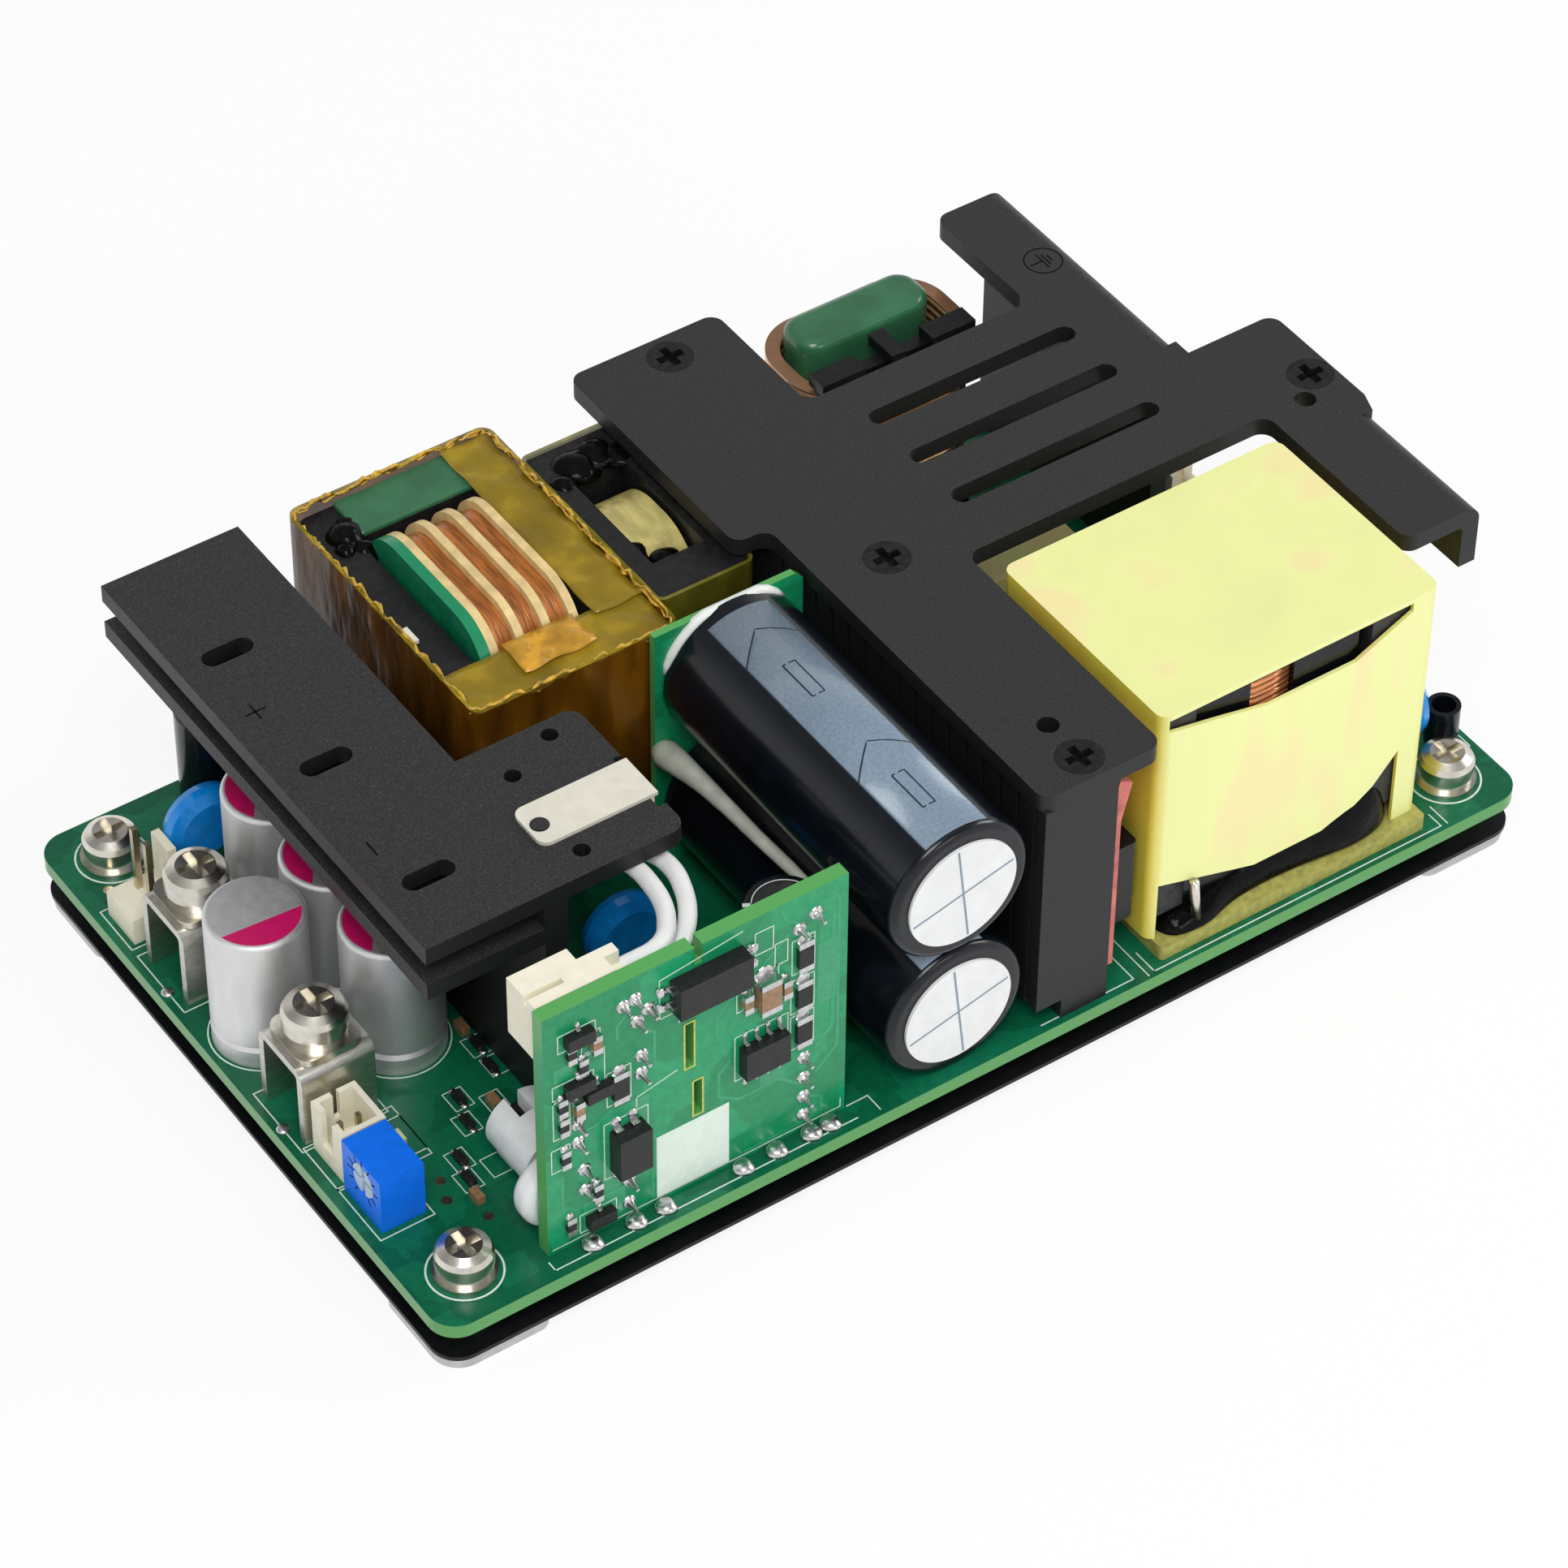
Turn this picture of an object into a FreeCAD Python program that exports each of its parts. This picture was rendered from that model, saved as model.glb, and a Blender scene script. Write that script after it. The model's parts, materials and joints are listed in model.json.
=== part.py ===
import FreeCAD, Part
import math
import os
import re

import Sketcher

# An open frame power supply: a populated circuit board on an aluminium base plate, with two
# heatsinks, three transformers or chokes on end, stacked storage capacitors and screw terminals.
# Millimetres. X runs from the output end to the input end, Y across the board, Z up, and the
# origin is the centre of the base plate's underside.

SIZES = {
    # board, base plate, sheet and spacers
    "board_length": 127.0,
    "board_width": 76.2,
    "board_thickness": 1.6,
    "board_corner": 3.0,
    "board_hole_radius": 1.75,
    "hole_margin": 5.715,
    "base_thickness": 1.3,
    "base_margin": 0.4,
    "base_hole_radius": 1.6,
    "lug_length": 12.0,
    "lug_recess": 3.0,
    "lug_round": 1.5,
    "sheet_thickness": 0.5,
    "sheet_margin": 0.2,
    "sheet_hole_clearance": 0.3,
    "spacer_height": 3.6,
    "spacer_radius": 2.75,
    "spacer_bore": 1.5,
    # corner screws with their washers
    "washer_radius": 3.15,
    "washer_thickness": 0.5,
    "spring_washer_radius": 2.75,
    "spring_washer_thickness": 0.8,
    "spring_washer_slit": 0.8,
    "shank_radius": 1.45,
    "shank_clearance": 0.1,
    "corner_head_radius": 2.85,
    "corner_head_height": 2.4,
    "corner_shank_length": 5.2,
    "head_rounding": 1.0,
    "head_shoulder_share": 0.9,
    "head_shoulder_rise": 0.55,
    "head_flat_share": 0.62,
    "recess_share": 0.58,
    "flush_recess_share": 0.62,
    "recess_width": 0.9,
    "recess_depth": 1.1,
    # main heatsink plate, seen from above; heights are above the board
    "plate_top": 31.0,
    "plate_thickness": 2.0,
    "plate_round": 1.5,
    "plate_left": 3.2,
    "plate_near": -37.4,
    "plate_far": 37.3,
    "near_arm_right": 16.9,
    "bridge_near": -5.95,
    "hook_left": 53.3,
    "hook_near": -28.0,
    "hook_far": -11.2,
    "hook_right": 62.5,
    "hook_drop": 7.25,
    "tongue_right": 63.3,
    "tongue_near": -8.9,
    "tongue_far": 5.9,
    "leg_right": 52.7,
    "leg_near": 8.0,
    "far_arm_left": 44.0,
    "bay_near": 21.1,
    "bay_left": 17.0,
    "left_arm_left": -0.6,
    "left_arm_near": 7.7,
    "bend_round": 1.8,
    "bend_inner": 0.6,
    "slot_left": 21.65,
    "slot_right": 44.2,
    "slot_radius": 1.1,
    "slot_first": 1.27,
    "slot_pitch": 6.95,
    "small_hole_radius": 1.1,
    "near_small_hole_x": 9.45,
    "near_small_hole_y": -29.4,
    "hook_small_hole_x": 58.0,
    "hook_small_hole_y": -6.2,
    "screw_hole_radius": 1.6,
    "countersink": 0.8,
    "flush_head_radius": 2.35,
    "flush_head_height": 0.9,
    "flush_shank_length": 6.0,
    "near_screw_x": 9.4,
    "near_screw_y": -34.4,
    "middle_screw_x": 10.4,
    "middle_screw_y": -2.0,
    "far_screw_x": 9.6,
    "far_screw_y": 34.3,
    "tongue_screw_x": 60.8,
    "tongue_screw_y": -3.4,
    # upright wall under the plate, with its silicone pad and power parts
    "wall_left": 3.5,
    "wall_right": 11.9,
    "wall_far": 36.9,
    "wall_foot_left": 6.5,
    "wall_groove_count": 27,
    "wall_groove_width": 0.5,
    "wall_groove_depth": 0.3,
    "wall_lift": 2.5,
    "post_radius": 2.6,
    "silicone_thickness": 0.9,
    "silicone_far": -21.0,
    "silicone_low": 3.6,
    "silicone_flare": 1.1,
    "device_depth": 4.3,
    "device_width": 10.2,
    "device_height": 10.0,
    "device_low": 5.6,
    "device_near": -34.4,
    "device_round": 0.5,
    "lead_width": 0.8,
    "lead_depth": 0.5,
    "lead_pitch": 2.54,
    "bridge_body_near": -18.0,
    "bridge_body_width": 22.0,
    "bridge_body_height": 16.0,
    "bridge_lead_pitch": 5.0,
    # yellow taped choke
    "choke_left": 18.4,
    "choke_right": 51.7,
    "choke_near": -35.3,
    "choke_far": -9.7,
    "choke_top": 31.4,
    "choke_round": 1.2,
    "tape_thickness": 0.4,
    "choke_left_strip": 0.9,
    "choke_right_strip": 3.3,
    "choke_window_lip": 0.6,
    "choke_window_left_drop": 2.1,
    "choke_window_knee": 5.6,
    "choke_window_knee_drop": 3.3,
    "choke_window_run": 12.0,
    "choke_window_drop": 4.8,
    "choke_window_rise": 6.6,
    "choke_window_right_drop": 1.7,
    "choke_skirt_left": 8.9,
    "choke_skirt_low": 5.2,
    "choke_skirt_right": 11.3,
    "choke_skirt_run": 11.8,
    "choke_skirt_rise": 7.0,
    "choke_skirt_bend": 2.9,
    "choke_skirt_bend_height": 7.9,
    "choke_tray_height": 1.7,
    "choke_tray_near": -36.8,
    "choke_tray_side": 0.6,
    "tray_round": 0.5,
    "choke_core_low": 4.0,
    "choke_left_post": 3.9,
    "choke_right_post": 7.1,
    "choke_leg_depth": 5.0,
    "choke_bobbin_left": 23.2,
    "choke_bobbin_right": 42.6,
    "choke_cheek": 1.4,
    "choke_flange_top": 30.4,
    "choke_slot_left": 29.6,
    "choke_slot_right": 34.8,
    "choke_slot_depth": 9.0,
    "choke_bobbin_gap": 0.3,
    "choke_coil_top": 29.6,
    # large transformer in amber tape
    "amber_left": -33.4,
    "amber_right": -10.2,
    "amber_near": 2.7,
    "amber_far": 37.3,
    "amber_top": 29.6,
    "amber_round": 1.4,
    "core_gap": 0.2,
    "core_drop": 1.3,
    "core_left_thickness": 3.9,
    "core_right_thickness": 5.0,
    "core_leg_depth": 5.6,
    "core_round": 1.5,
    "disc_left": -28.2,
    "disc_near": 9.3,
    "disc_far": 30.7,
    "disc_top": 31.0,
    "disc_round": 5.4,
    "disc_board_thickness": 1.2,
    "paper_thickness": 0.9,
    "foil_thickness": 2.1,
    "foil_inset": 0.9,
    # smaller transformer beside it
    "small_left": -9.8,
    "small_right": 1.4,
    "small_near": 7.0,
    "small_far": 32.2,
    "small_top": 28.6,
    "small_round": 1.0,
    "small_bar": 2.0,
    "small_end": 4.6,
    "small_drum_gap": 0.4,
    "small_drum_drop": 1.0,
    "small_drum_round": 6.0,
    # riser board and the two storage capacitors it carries
    "riser_left": -14.3,
    "riser_right": 2.85,
    "riser_near": 1.2,
    "riser_thickness": 0.8,
    "riser_top": 30.8,
    "riser_corner": 1.0,
    "storage_x": -5.6,
    "storage_radius": 7.9,
    "storage_near": -36.9,
    "storage_gap": 0.3,
    "storage_round": 0.9,
    "storage_disc_radius": 6.05,
    "storage_disc_thickness": 0.3,
    # output heatsink, an extruded profile
    "output_left": -53.6,
    "output_right": -38.4,
    "output_near": -20.8,
    "output_far": 37.6,
    "output_top": 30.0,
    "output_thickness": 2.0,
    "output_gap": 2.6,
    "output_web": 2.5,
    "tab_right": -25.2,
    "tab_far": -1.7,
    "tab_round": 1.6,
    "tab_notch_near": -17.2,
    "tab_notch_far": -9.6,
    "tab_notch_depth": 0.9,
    "output_slot_left": -49.9,
    "output_slot_right": -46.7,
    "output_slot_radius": 1.1,
    "output_slot_first": -12.9,
    "output_slot_pitch": 17.9,
    "tab_hole_radius": 0.85,
    "tab_hole_a_x": -29.2,
    "tab_hole_a_y": -3.6,
    "tab_hole_b_x": -35.0,
    "tab_hole_b_y": -6.3,
    "tab_hole_c_x": -35.0,
    "tab_hole_c_y": -18.0,
    "clip_left": -37.9,
    "clip_near": -15.9,
    "clip_far": -10.5,
    "clip_thickness": 0.4,
    "clip_round": 1.1,
    "clip_drop": 3.4,
    "clip_gap": 0.1,
    "clip_hole_radius": 0.95,
    "clip_hole_x": -36.6,
    "clip_hole_y": -13.4,
    "dimple_clearance": 0.08,
    "dimple_height": 0.5,
    "rectifier_first_y": -12.0,
    "rectifier_pitch": 17.0,
    # upright control board along the near edge and what is on it
    "control_left": -50.5,
    "control_right": -17.3,
    "control_near": -35.3,
    "control_thickness": 1.6,
    "control_top": 31.5,
    "control_notch_left": -34.2,
    "control_notch_right": -33.3,
    "control_notch_depth": 2.2,
    "control_slot_x": -34.8,
    "control_slot_width": 0.9,
    "control_slot_low": 16.2,
    "control_slot_high": 22.0,
    "control_slot_shift": 0.9,
    "second_slot_low": 9.4,
    "second_slot_high": 13.9,
    "long_chip_left": -36.9,
    "long_chip_length": 7.9,
    "long_chip_low": 25.0,
    "long_chip_height": 3.9,
    "long_chip_depth": 1.9,
    "controller_left": -29.3,
    "controller_length": 4.9,
    "controller_low": 11.9,
    "controller_height": 3.6,
    "controller_depth": 1.3,
    "small_bridge_left": -43.6,
    "small_bridge_length": 3.5,
    "small_bridge_low": 7.6,
    "small_bridge_height": 5.2,
    "small_bridge_depth": 1.9,
    "chip_length": 1.6,
    "chip_width": 0.9,
    "chip_height": 0.55,
    "wide_chip_length": 3.2,
    "wide_chip_width": 1.6,
    "large_chip_length": 3.4,
    "large_chip_width": 2.2,
    "large_chip_height": 1.4,
    "tiny_case_length": 2.9,
    "tiny_case_width": 1.4,
    "tiny_case_height": 1.0,
    # output end
    "capacitor_radius": 4.97,
    "capacitor_height": 16.2,
    "capacitor_groove_low": 2.0,
    "capacitor_groove_height": 0.9,
    "capacitor_groove_depth": 0.3,
    "capacitor_edge": 0.5,
    "capacitor_row_x": -47.55,
    "capacitor_row_y": -3.9,
    "capacitor_row_pitch": 10.7,
    "capacitor_front_x": -57.5,
    "capacitor_front_y": 4.0,
    "blue_can_x": -45.1,
    "blue_can_y": 34.7,
    "blue_can_radius": 3.15,
    "blue_can_height": 12.0,
    "terminal_x": -57.9,
    "terminal_y": 14.5,
    "terminal_pitch": 21.6,
    "terminal_length": 8.0,
    "terminal_width": 7.8,
    "terminal_height": 9.5,
    "terminal_sheet": 0.9,
    "terminal_bend": 1.3,
    "terminal_hole_radius": 1.85,
    "square_washer_side": 7.0,
    "square_washer_round": 1.5,
    "square_washer_thickness": 0.8,
    "terminal_spring_radius": 3.0,
    "terminal_spring_thickness": 1.0,
    "terminal_head_radius": 3.2,
    "terminal_head_height": 2.6,
    "terminal_shank_radius": 1.75,
    "terminal_shank_length": 7.0,
    "lock_header_left": -62.0,
    "lock_header_near": 20.7,
    "lock_header_length": 5.08,
    "lock_header_depth": 5.8,
    "lock_header_height": 3.2,
    "lock_wall_thickness": 0.9,
    "lock_wall_inset": 0.9,
    "lock_wall_top": 9.3,
    "lock_pin_width": 0.64,
    "lock_pin_top": 11.2,
    "lock_pin_setback": 2.9,
    "shroud_left": -61.4,
    "shroud_near": -17.2,
    "shroud_length": 5.6,
    "shroud_depth": 4.8,
    "shroud_height": 6.4,
    "shroud_wall": 0.6,
    "shroud_floor": 1.2,
    "shroud_slot": 0.7,
    "shroud_slot_depth": 3.2,
    "shroud_end_slot": 2.0,
    "shroud_end_slot_depth": 4.4,
    "shroud_pin_width": 0.5,
    "shroud_pin_pitch": 2.0,
    "shroud_pin_top": 5.2,
    "trimmer_left": -61.7,
    "trimmer_near": -24.3,
    "trimmer_length": 6.7,
    "trimmer_depth": 4.8,
    "trimmer_height": 6.7,
    "trimmer_well_radius": 1.9,
    "trimmer_well_depth": 1.2,
    "trimmer_rotor_y": -21.1,
    "trimmer_rotor_height": 4.3,
    "rotor_clearance": 0.08,
    "rotor_slot": 0.6,
    "rotor_slot_depth": 0.5,
    "lamp_x": -54.4,
    "lamp_y": -16.2,
    # loose parts on the board
    "disc_radius": 4.3,
    "disc_flat_share": 0.72,
    "disc_edge_share": 0.95,
    "disc_lead_share": 0.6,
    "disc_thickness": 3.2,
    "disc_stand": 1.2,
    "disc_lead_radius": 0.3,
    "disc_lead_pitch": 5.0,
    "first_disc_x": -50.3,
    "first_disc_y": 26.9,
    "second_disc_x": -24.6,
    "second_disc_y": -8.3,
    "third_disc_x": 57.2,
    "third_disc_y": -24.9,
    "sleeve_x": 61.1,
    "sleeve_y": -27.6,
    "sleeve_radius": 1.75,
    "sleeve_bore": 1.25,
    "sleeve_height": 4.6,
    "black_can_x": -17.9,
    "black_can_y": -26.0,
    "black_can_radius": 4.0,
    "black_can_height": 20.0,
    "coil_x": -47.4,
    "coil_radius": 4.1,
    "coil_lift": 0.3,
    "coil_length": 3.0,
    "coil_near": -33.6,
    "coil_round": 1.2,
    "far_coil_x": -45.2,
    "far_coil_radius": 3.6,
    "far_coil_near": -29.2,
    "far_coil_length": 6.8,
    "coil_core_radius": 1.6,
    "coil_core_overhang": 0.4,
    "coil_slot_width": 1.5,
    "coil_slot_length": 2.8,
    # common mode choke at the far edge
    "filter_left": 23.3,
    "filter_right": 39.3,
    "filter_near": 30.2,
    "filter_far": 36.0,
    "filter_top": 28.0,
    "filter_round": 2.4,
    "filter_window_left": 27.2,
    "filter_window_right": 36.0,
    "filter_top_round": 1.1,
    "filter_window_low": 4.0,
    "filter_window_high": 23.4,
    "filter_coil_reach": 10.5,
    "filter_coil_half_width": 6.7,
    "filter_coil_round": 5.5,
    "filter_coil_wall": 1.5,
    "filter_coil_low": 6.0,
    "filter_coil_high": 25.6,
    "filter_coil_gap": 0.5,
    "filter_bobbin_near": 25.3,
    "filter_bobbin_half_length": 9.4,
    "filter_bobbin_wall": 1.4,
    "filter_bobbin_wall_half": 6.4,
    "filter_bobbin_top": 27.4,
    "filter_block_length": 5.3,
    "filter_rib_half": 0.9,
    "filter_rib_far": 29.5,
    # input end, under the plate
    "input_header_left": 55.6,
    "input_header_near": 10.5,
    "input_header_length": 11.9,
    "input_header_depth": 6.4,
    "input_header_height": 3.6,
    "input_wall_top": 9.6,
    "input_pin_side": 1.1,
    "input_pin_top": 12.0,
    "input_pin_pitch": 7.92,
    "fuse_x": 57.6,
    "fuse_y": -16.5,
    "fuse_radius": 2.6,
    "fuse_length": 9.0,
    "fuse_height": 3.6,
    "fuse_leg_inset": 1.0,
    "filter_cap_left": 20.5,
    "filter_cap_near": 3.0,
    "filter_cap_length": 18.0,
    "filter_cap_depth": 9.0,
    "filter_cap_height": 15.0,
    "filter_cap_round": 0.8,
    # connector and leads behind the control board
    "plug_left": -50.0,
    "plug_length": 10.2,
    "plug_depth": 5.0,
    "plug_low": 24.2,
    "plug_height": 7.0,
    "plug_gap": 0.3,
    "plug_main_length": 6.4,
    "plug_side_depth": 1.2,
    "plug_groove_length": 4.0,
    "plug_groove_width": 0.6,
    "plug_groove_depth": 0.9,
    "plug_step": 1.6,
    "plug_socket_height": 5.4,
    "plug_socket_depth": 2.2,
    "white_lead_radius": 0.9,
}

doc = FreeCAD.newDocument("PowerSupply")
sheet = doc.addObject("Spreadsheet::Sheet", "Sizes")
pieces = []

# The board's top face, which most heights are counted from.
DECK = "(base_thickness + spacer_height + board_thickness)"
PLATE_UNDER = f"({DECK} + plate_top - plate_thickness)"


def fill_sheet():
    for row, (name, size) in enumerate(SIZES.items(), 1):
        sheet.set(f"A{row}", name)
        sheet.set(f"B{row}", str(size))
        sheet.setAlias(f"B{row}", name)
    doc.recompute()


def formula(text):
    """The text with each size written as a cell of the sheet."""
    return re.sub(r"[a-z][a-z_]+", lambda word: "Sizes." + word.group(), str(text))


def number(text):
    """What a formula comes to."""
    return float(sheet.evalExpression(str(text)))


def bind(thing, **properties):
    for name, text in properties.items():
        thing.setExpression(name, formula(text))


def place(thing, x="0", y="0", z="0"):
    for axis, text in zip("xyz", (x, y, z)):
        if str(text) != "0":
            thing.setExpression(f"Placement.Base.{axis}", formula(text))
    return thing


def keep(thing, label=None):
    """Marks a document object as one of the part's pieces."""
    thing.Label = label or thing.Name
    pieces.append(thing)
    return thing


def box(name, low, size):
    block = doc.addObject("Part::Box", name)
    bind(block, Length=size[0], Width=size[1], Height=size[2])
    return place(block, *low)


TURNS = {
    "Z": FreeCAD.Rotation(),
    "X": FreeCAD.Rotation(FreeCAD.Vector(0, 1, 0), 90),
    "Y": FreeCAD.Rotation(FreeCAD.Vector(1, 0, 0), -90),
}


def cylinder(name, foot, radius, height, along="Z"):
    rod = doc.addObject("Part::Cylinder", name)
    rod.Placement = FreeCAD.Placement(FreeCAD.Vector(), TURNS[along])
    bind(rod, Radius=radius, Height=height)
    return place(rod, *foot)


def cut(name, base, *tools):
    result = doc.addObject("Part::Cut", name)
    result.Base = base
    result.Tool = tools[0] if len(tools) == 1 else group(name + "_tools", *tools)
    return result


def fuse(name, *members):
    result = doc.addObject("Part::MultiFuse", name)
    result.Shapes = list(members)
    result.Refine = True
    return result


def group(name, *members):
    result = doc.addObject("Part::Compound", name)
    result.Links = list(members)
    return result


def copies(name, original, places):
    """The same solid standing at several places."""
    members = []
    for count, spot in enumerate(places, 1):
        link = doc.addObject("App::Link", f"{name}_{count}")
        link.LinkedObject = original
        link.LinkTransform = True
        members.append(place(link, *spot))
    return group(name, *members)


def new_body(name):
    return doc.addObject("PartDesign::Body", name)


def sketch_on(body, role, name, offset="0"):
    """A sketch on one of the body's own origin planes."""
    sketch = body.newObject("Sketcher::SketchObject", name)
    plane = next(item for item in body.Origin.OriginFeatures if item.Role == role)
    sketch.AttachmentSupport = [(plane, "")]
    sketch.MapMode = "FlatFace"
    if offset != "0":
        sketch.setExpression("AttachmentOffset.Base.z", formula(offset))
    return sketch


def fix_point(sketch, line, end, x, y):
    """Ties a point of the sketch to its two formulas."""
    for kind, text in (("DistanceX", x), ("DistanceY", y)):
        rule = sketch.addConstraint(Sketcher.Constraint(kind, -1, 1, line, end, number(text)))
        sketch.setExpression(f"Constraints[{rule}]", formula(text))


def fix_radius(sketch, line, radius):
    rule = sketch.addConstraint(Sketcher.Constraint("Radius", line, number(radius)))
    sketch.setExpression(f"Constraints[{rule}]", formula(radius))


def add_outline(sketch, corners):
    """A closed outline. A corner is (x, y), or (x, y, radius) where two square edges are rounded."""
    count = len(corners)
    spots = [FreeCAD.Vector(number(corner[0]), number(corner[1]), 0) for corner in corners]
    starts = []
    ends = []
    arcs = {}
    for index, corner in enumerate(corners):
        here = spots[index]
        before = (spots[index - 1] - here).normalize()
        after = (spots[(index + 1) % count] - here).normalize()
        if len(corner) == 2:
            starts.append(here)
            ends.append(here)
            continue
        radius = number(corner[2])
        starts.append(here + after * radius)
        ends.append(here + before * radius)
        inward = before + after
        arcs[index] = (here + inward * radius, -inward)
    lines = []
    for index in range(count):
        edge = Part.LineSegment(starts[index], ends[(index + 1) % count])
        lines.append(sketch.addGeometry(edge))
    for index, corner in enumerate(corners):
        before_line = lines[index - 1]
        after_line = lines[index]
        if index not in arcs:
            sketch.addConstraint(Sketcher.Constraint("Coincident", before_line, 2, after_line, 1))
            fix_point(sketch, after_line, 1, corner[0], corner[1])
            continue
        centre, outward = arcs[index]
        radius = number(corner[2])
        middle = math.atan2(outward.y, outward.x)
        circle = Part.Circle(centre, FreeCAD.Vector(0, 0, 1), radius)
        arc = sketch.addGeometry(Part.ArcOfCircle(circle, middle - math.pi / 4, middle + math.pi / 4))
        start_angle = middle - math.pi / 4
        first = centre + FreeCAD.Vector(math.cos(start_angle), math.sin(start_angle), 0) * radius
        joins = (1, 2) if (first - ends[index]).Length < (first - starts[index]).Length else (2, 1)
        sketch.addConstraint(Sketcher.Constraint("Tangent", before_line, 2, arc, joins[0]))
        sketch.addConstraint(Sketcher.Constraint("Tangent", after_line, 1, arc, joins[1]))
        side_x = "-" if outward.x > 0 else "+"
        side_y = "-" if outward.y > 0 else "+"
        centre_x = f"({corner[0]}) {side_x} ({corner[2]})"
        centre_y = f"({corner[1]}) {side_y} ({corner[2]})"
        fix_point(sketch, arc, 3, centre_x, centre_y)
        fix_radius(sketch, arc, corner[2])


def rectangle(low_x, low_y, high_x, high_y, radius=None):
    corners = [(low_x, low_y), (high_x, low_y), (high_x, high_y), (low_x, high_y)]
    return [corner + (radius,) for corner in corners] if radius else corners


def add_circle(sketch, x, y, radius):
    centre = FreeCAD.Vector(number(x), number(y), 0)
    line = sketch.addGeometry(Part.Circle(centre, FreeCAD.Vector(0, 0, 1), number(radius)))
    fix_point(sketch, line, 3, x, y)
    fix_radius(sketch, line, radius)


def add_slot(sketch, left, right, y, radius):
    """A slot along X between two end centres."""
    reach = number(radius)
    height = number(y)
    near = sketch.addGeometry(
        Part.LineSegment(
            FreeCAD.Vector(number(left), height - reach, 0),
            FreeCAD.Vector(number(right), height - reach, 0),
        )
    )
    far = sketch.addGeometry(
        Part.LineSegment(
            FreeCAD.Vector(number(right), height + reach, 0),
            FreeCAD.Vector(number(left), height + reach, 0),
        )
    )
    up = FreeCAD.Vector(0, 0, 1)
    right_circle = Part.Circle(FreeCAD.Vector(number(right), height, 0), up, reach)
    left_circle = Part.Circle(FreeCAD.Vector(number(left), height, 0), up, reach)
    right_arc = sketch.addGeometry(Part.ArcOfCircle(right_circle, -math.pi / 2, math.pi / 2))
    left_arc = sketch.addGeometry(Part.ArcOfCircle(left_circle, math.pi / 2, 3 * math.pi / 2))
    sketch.addConstraint(Sketcher.Constraint("Tangent", near, 2, right_arc, 1))
    sketch.addConstraint(Sketcher.Constraint("Tangent", far, 1, right_arc, 2))
    sketch.addConstraint(Sketcher.Constraint("Tangent", far, 2, left_arc, 1))
    sketch.addConstraint(Sketcher.Constraint("Tangent", near, 1, left_arc, 2))
    for arc, x in ((right_arc, right), (left_arc, left)):
        fix_point(sketch, arc, 3, x, y)
        fix_radius(sketch, arc, radius)


def pad(body, sketch, length):
    feature = body.newObject("PartDesign::Pad", sketch.Name + "_pad")
    feature.Profile = sketch
    bind(feature, Length=length)
    return feature


def pocket(body, sketch, length, towards_normal=False):
    """Removes the sketch's area, away from its normal unless told otherwise."""
    doc.recompute()
    before = body.Shape.Volume
    feature = body.newObject("PartDesign::Pocket", sketch.Name + "_pocket")
    feature.Profile = sketch
    feature.Reversed = towards_normal
    bind(feature, Length=length)
    doc.recompute()
    if feature.Shape.Volume > before - 1e-6:
        raise RuntimeError(f"{feature.Name} removed nothing")
    return feature


def turn(body, sketch):
    """Turns the sketch once round the body's Z axis."""
    feature = body.newObject("PartDesign::Revolution", sketch.Name + "_turned")
    feature.Profile = sketch
    feature.ReferenceAxis = (sketch, ["V_Axis"])
    feature.Angle = 360
    return feature


def edges_where(shape, test):
    return [f"Edge{count}" for count, edge in enumerate(shape.Edges, 1) if test(edge)]


def soften(body, name, radius, test, kind="Fillet"):
    """Rounds or chamfers those edges of the body that pass the test."""
    doc.recompute()
    base = body.Tip
    feature = body.newObject(f"PartDesign::{kind}", name)
    feature.Base = (base, edges_where(base.Shape, test))
    bind(feature, **{"Radius" if kind == "Fillet" else "Size": radius})
    return feature


def plate(name, outline, low, thickness):
    """A flat plate of the given outline."""
    body = new_body(name)
    sketch = sketch_on(body, "XY_Plane", name + "_outline", low)
    add_outline(sketch, outline)
    pad(body, sketch, thickness)
    return body


def bar_along_y(body, name, outline, near, length):
    """Adds a bar along Y, with its cross-section in X and Z."""
    sketch = sketch_on(body, "XZ_Plane", name + "_section", f"-(({near}) + ({length}))")
    add_outline(sketch, outline)
    pad(body, sketch, length)


def extrusion_along_y(name, outline, near, length):
    body = new_body(name)
    bar_along_y(body, name, outline, near, length)
    return body


def corner_places(z):
    """The four corner holes."""
    x = "(board_length / 2 - hole_margin)"
    y = "(board_width / 2 - hole_margin)"
    return [(f"{side} * {x}", f"{row} * {y}", z) for side in (-1, 1) for row in (-1, 1)]


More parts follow.
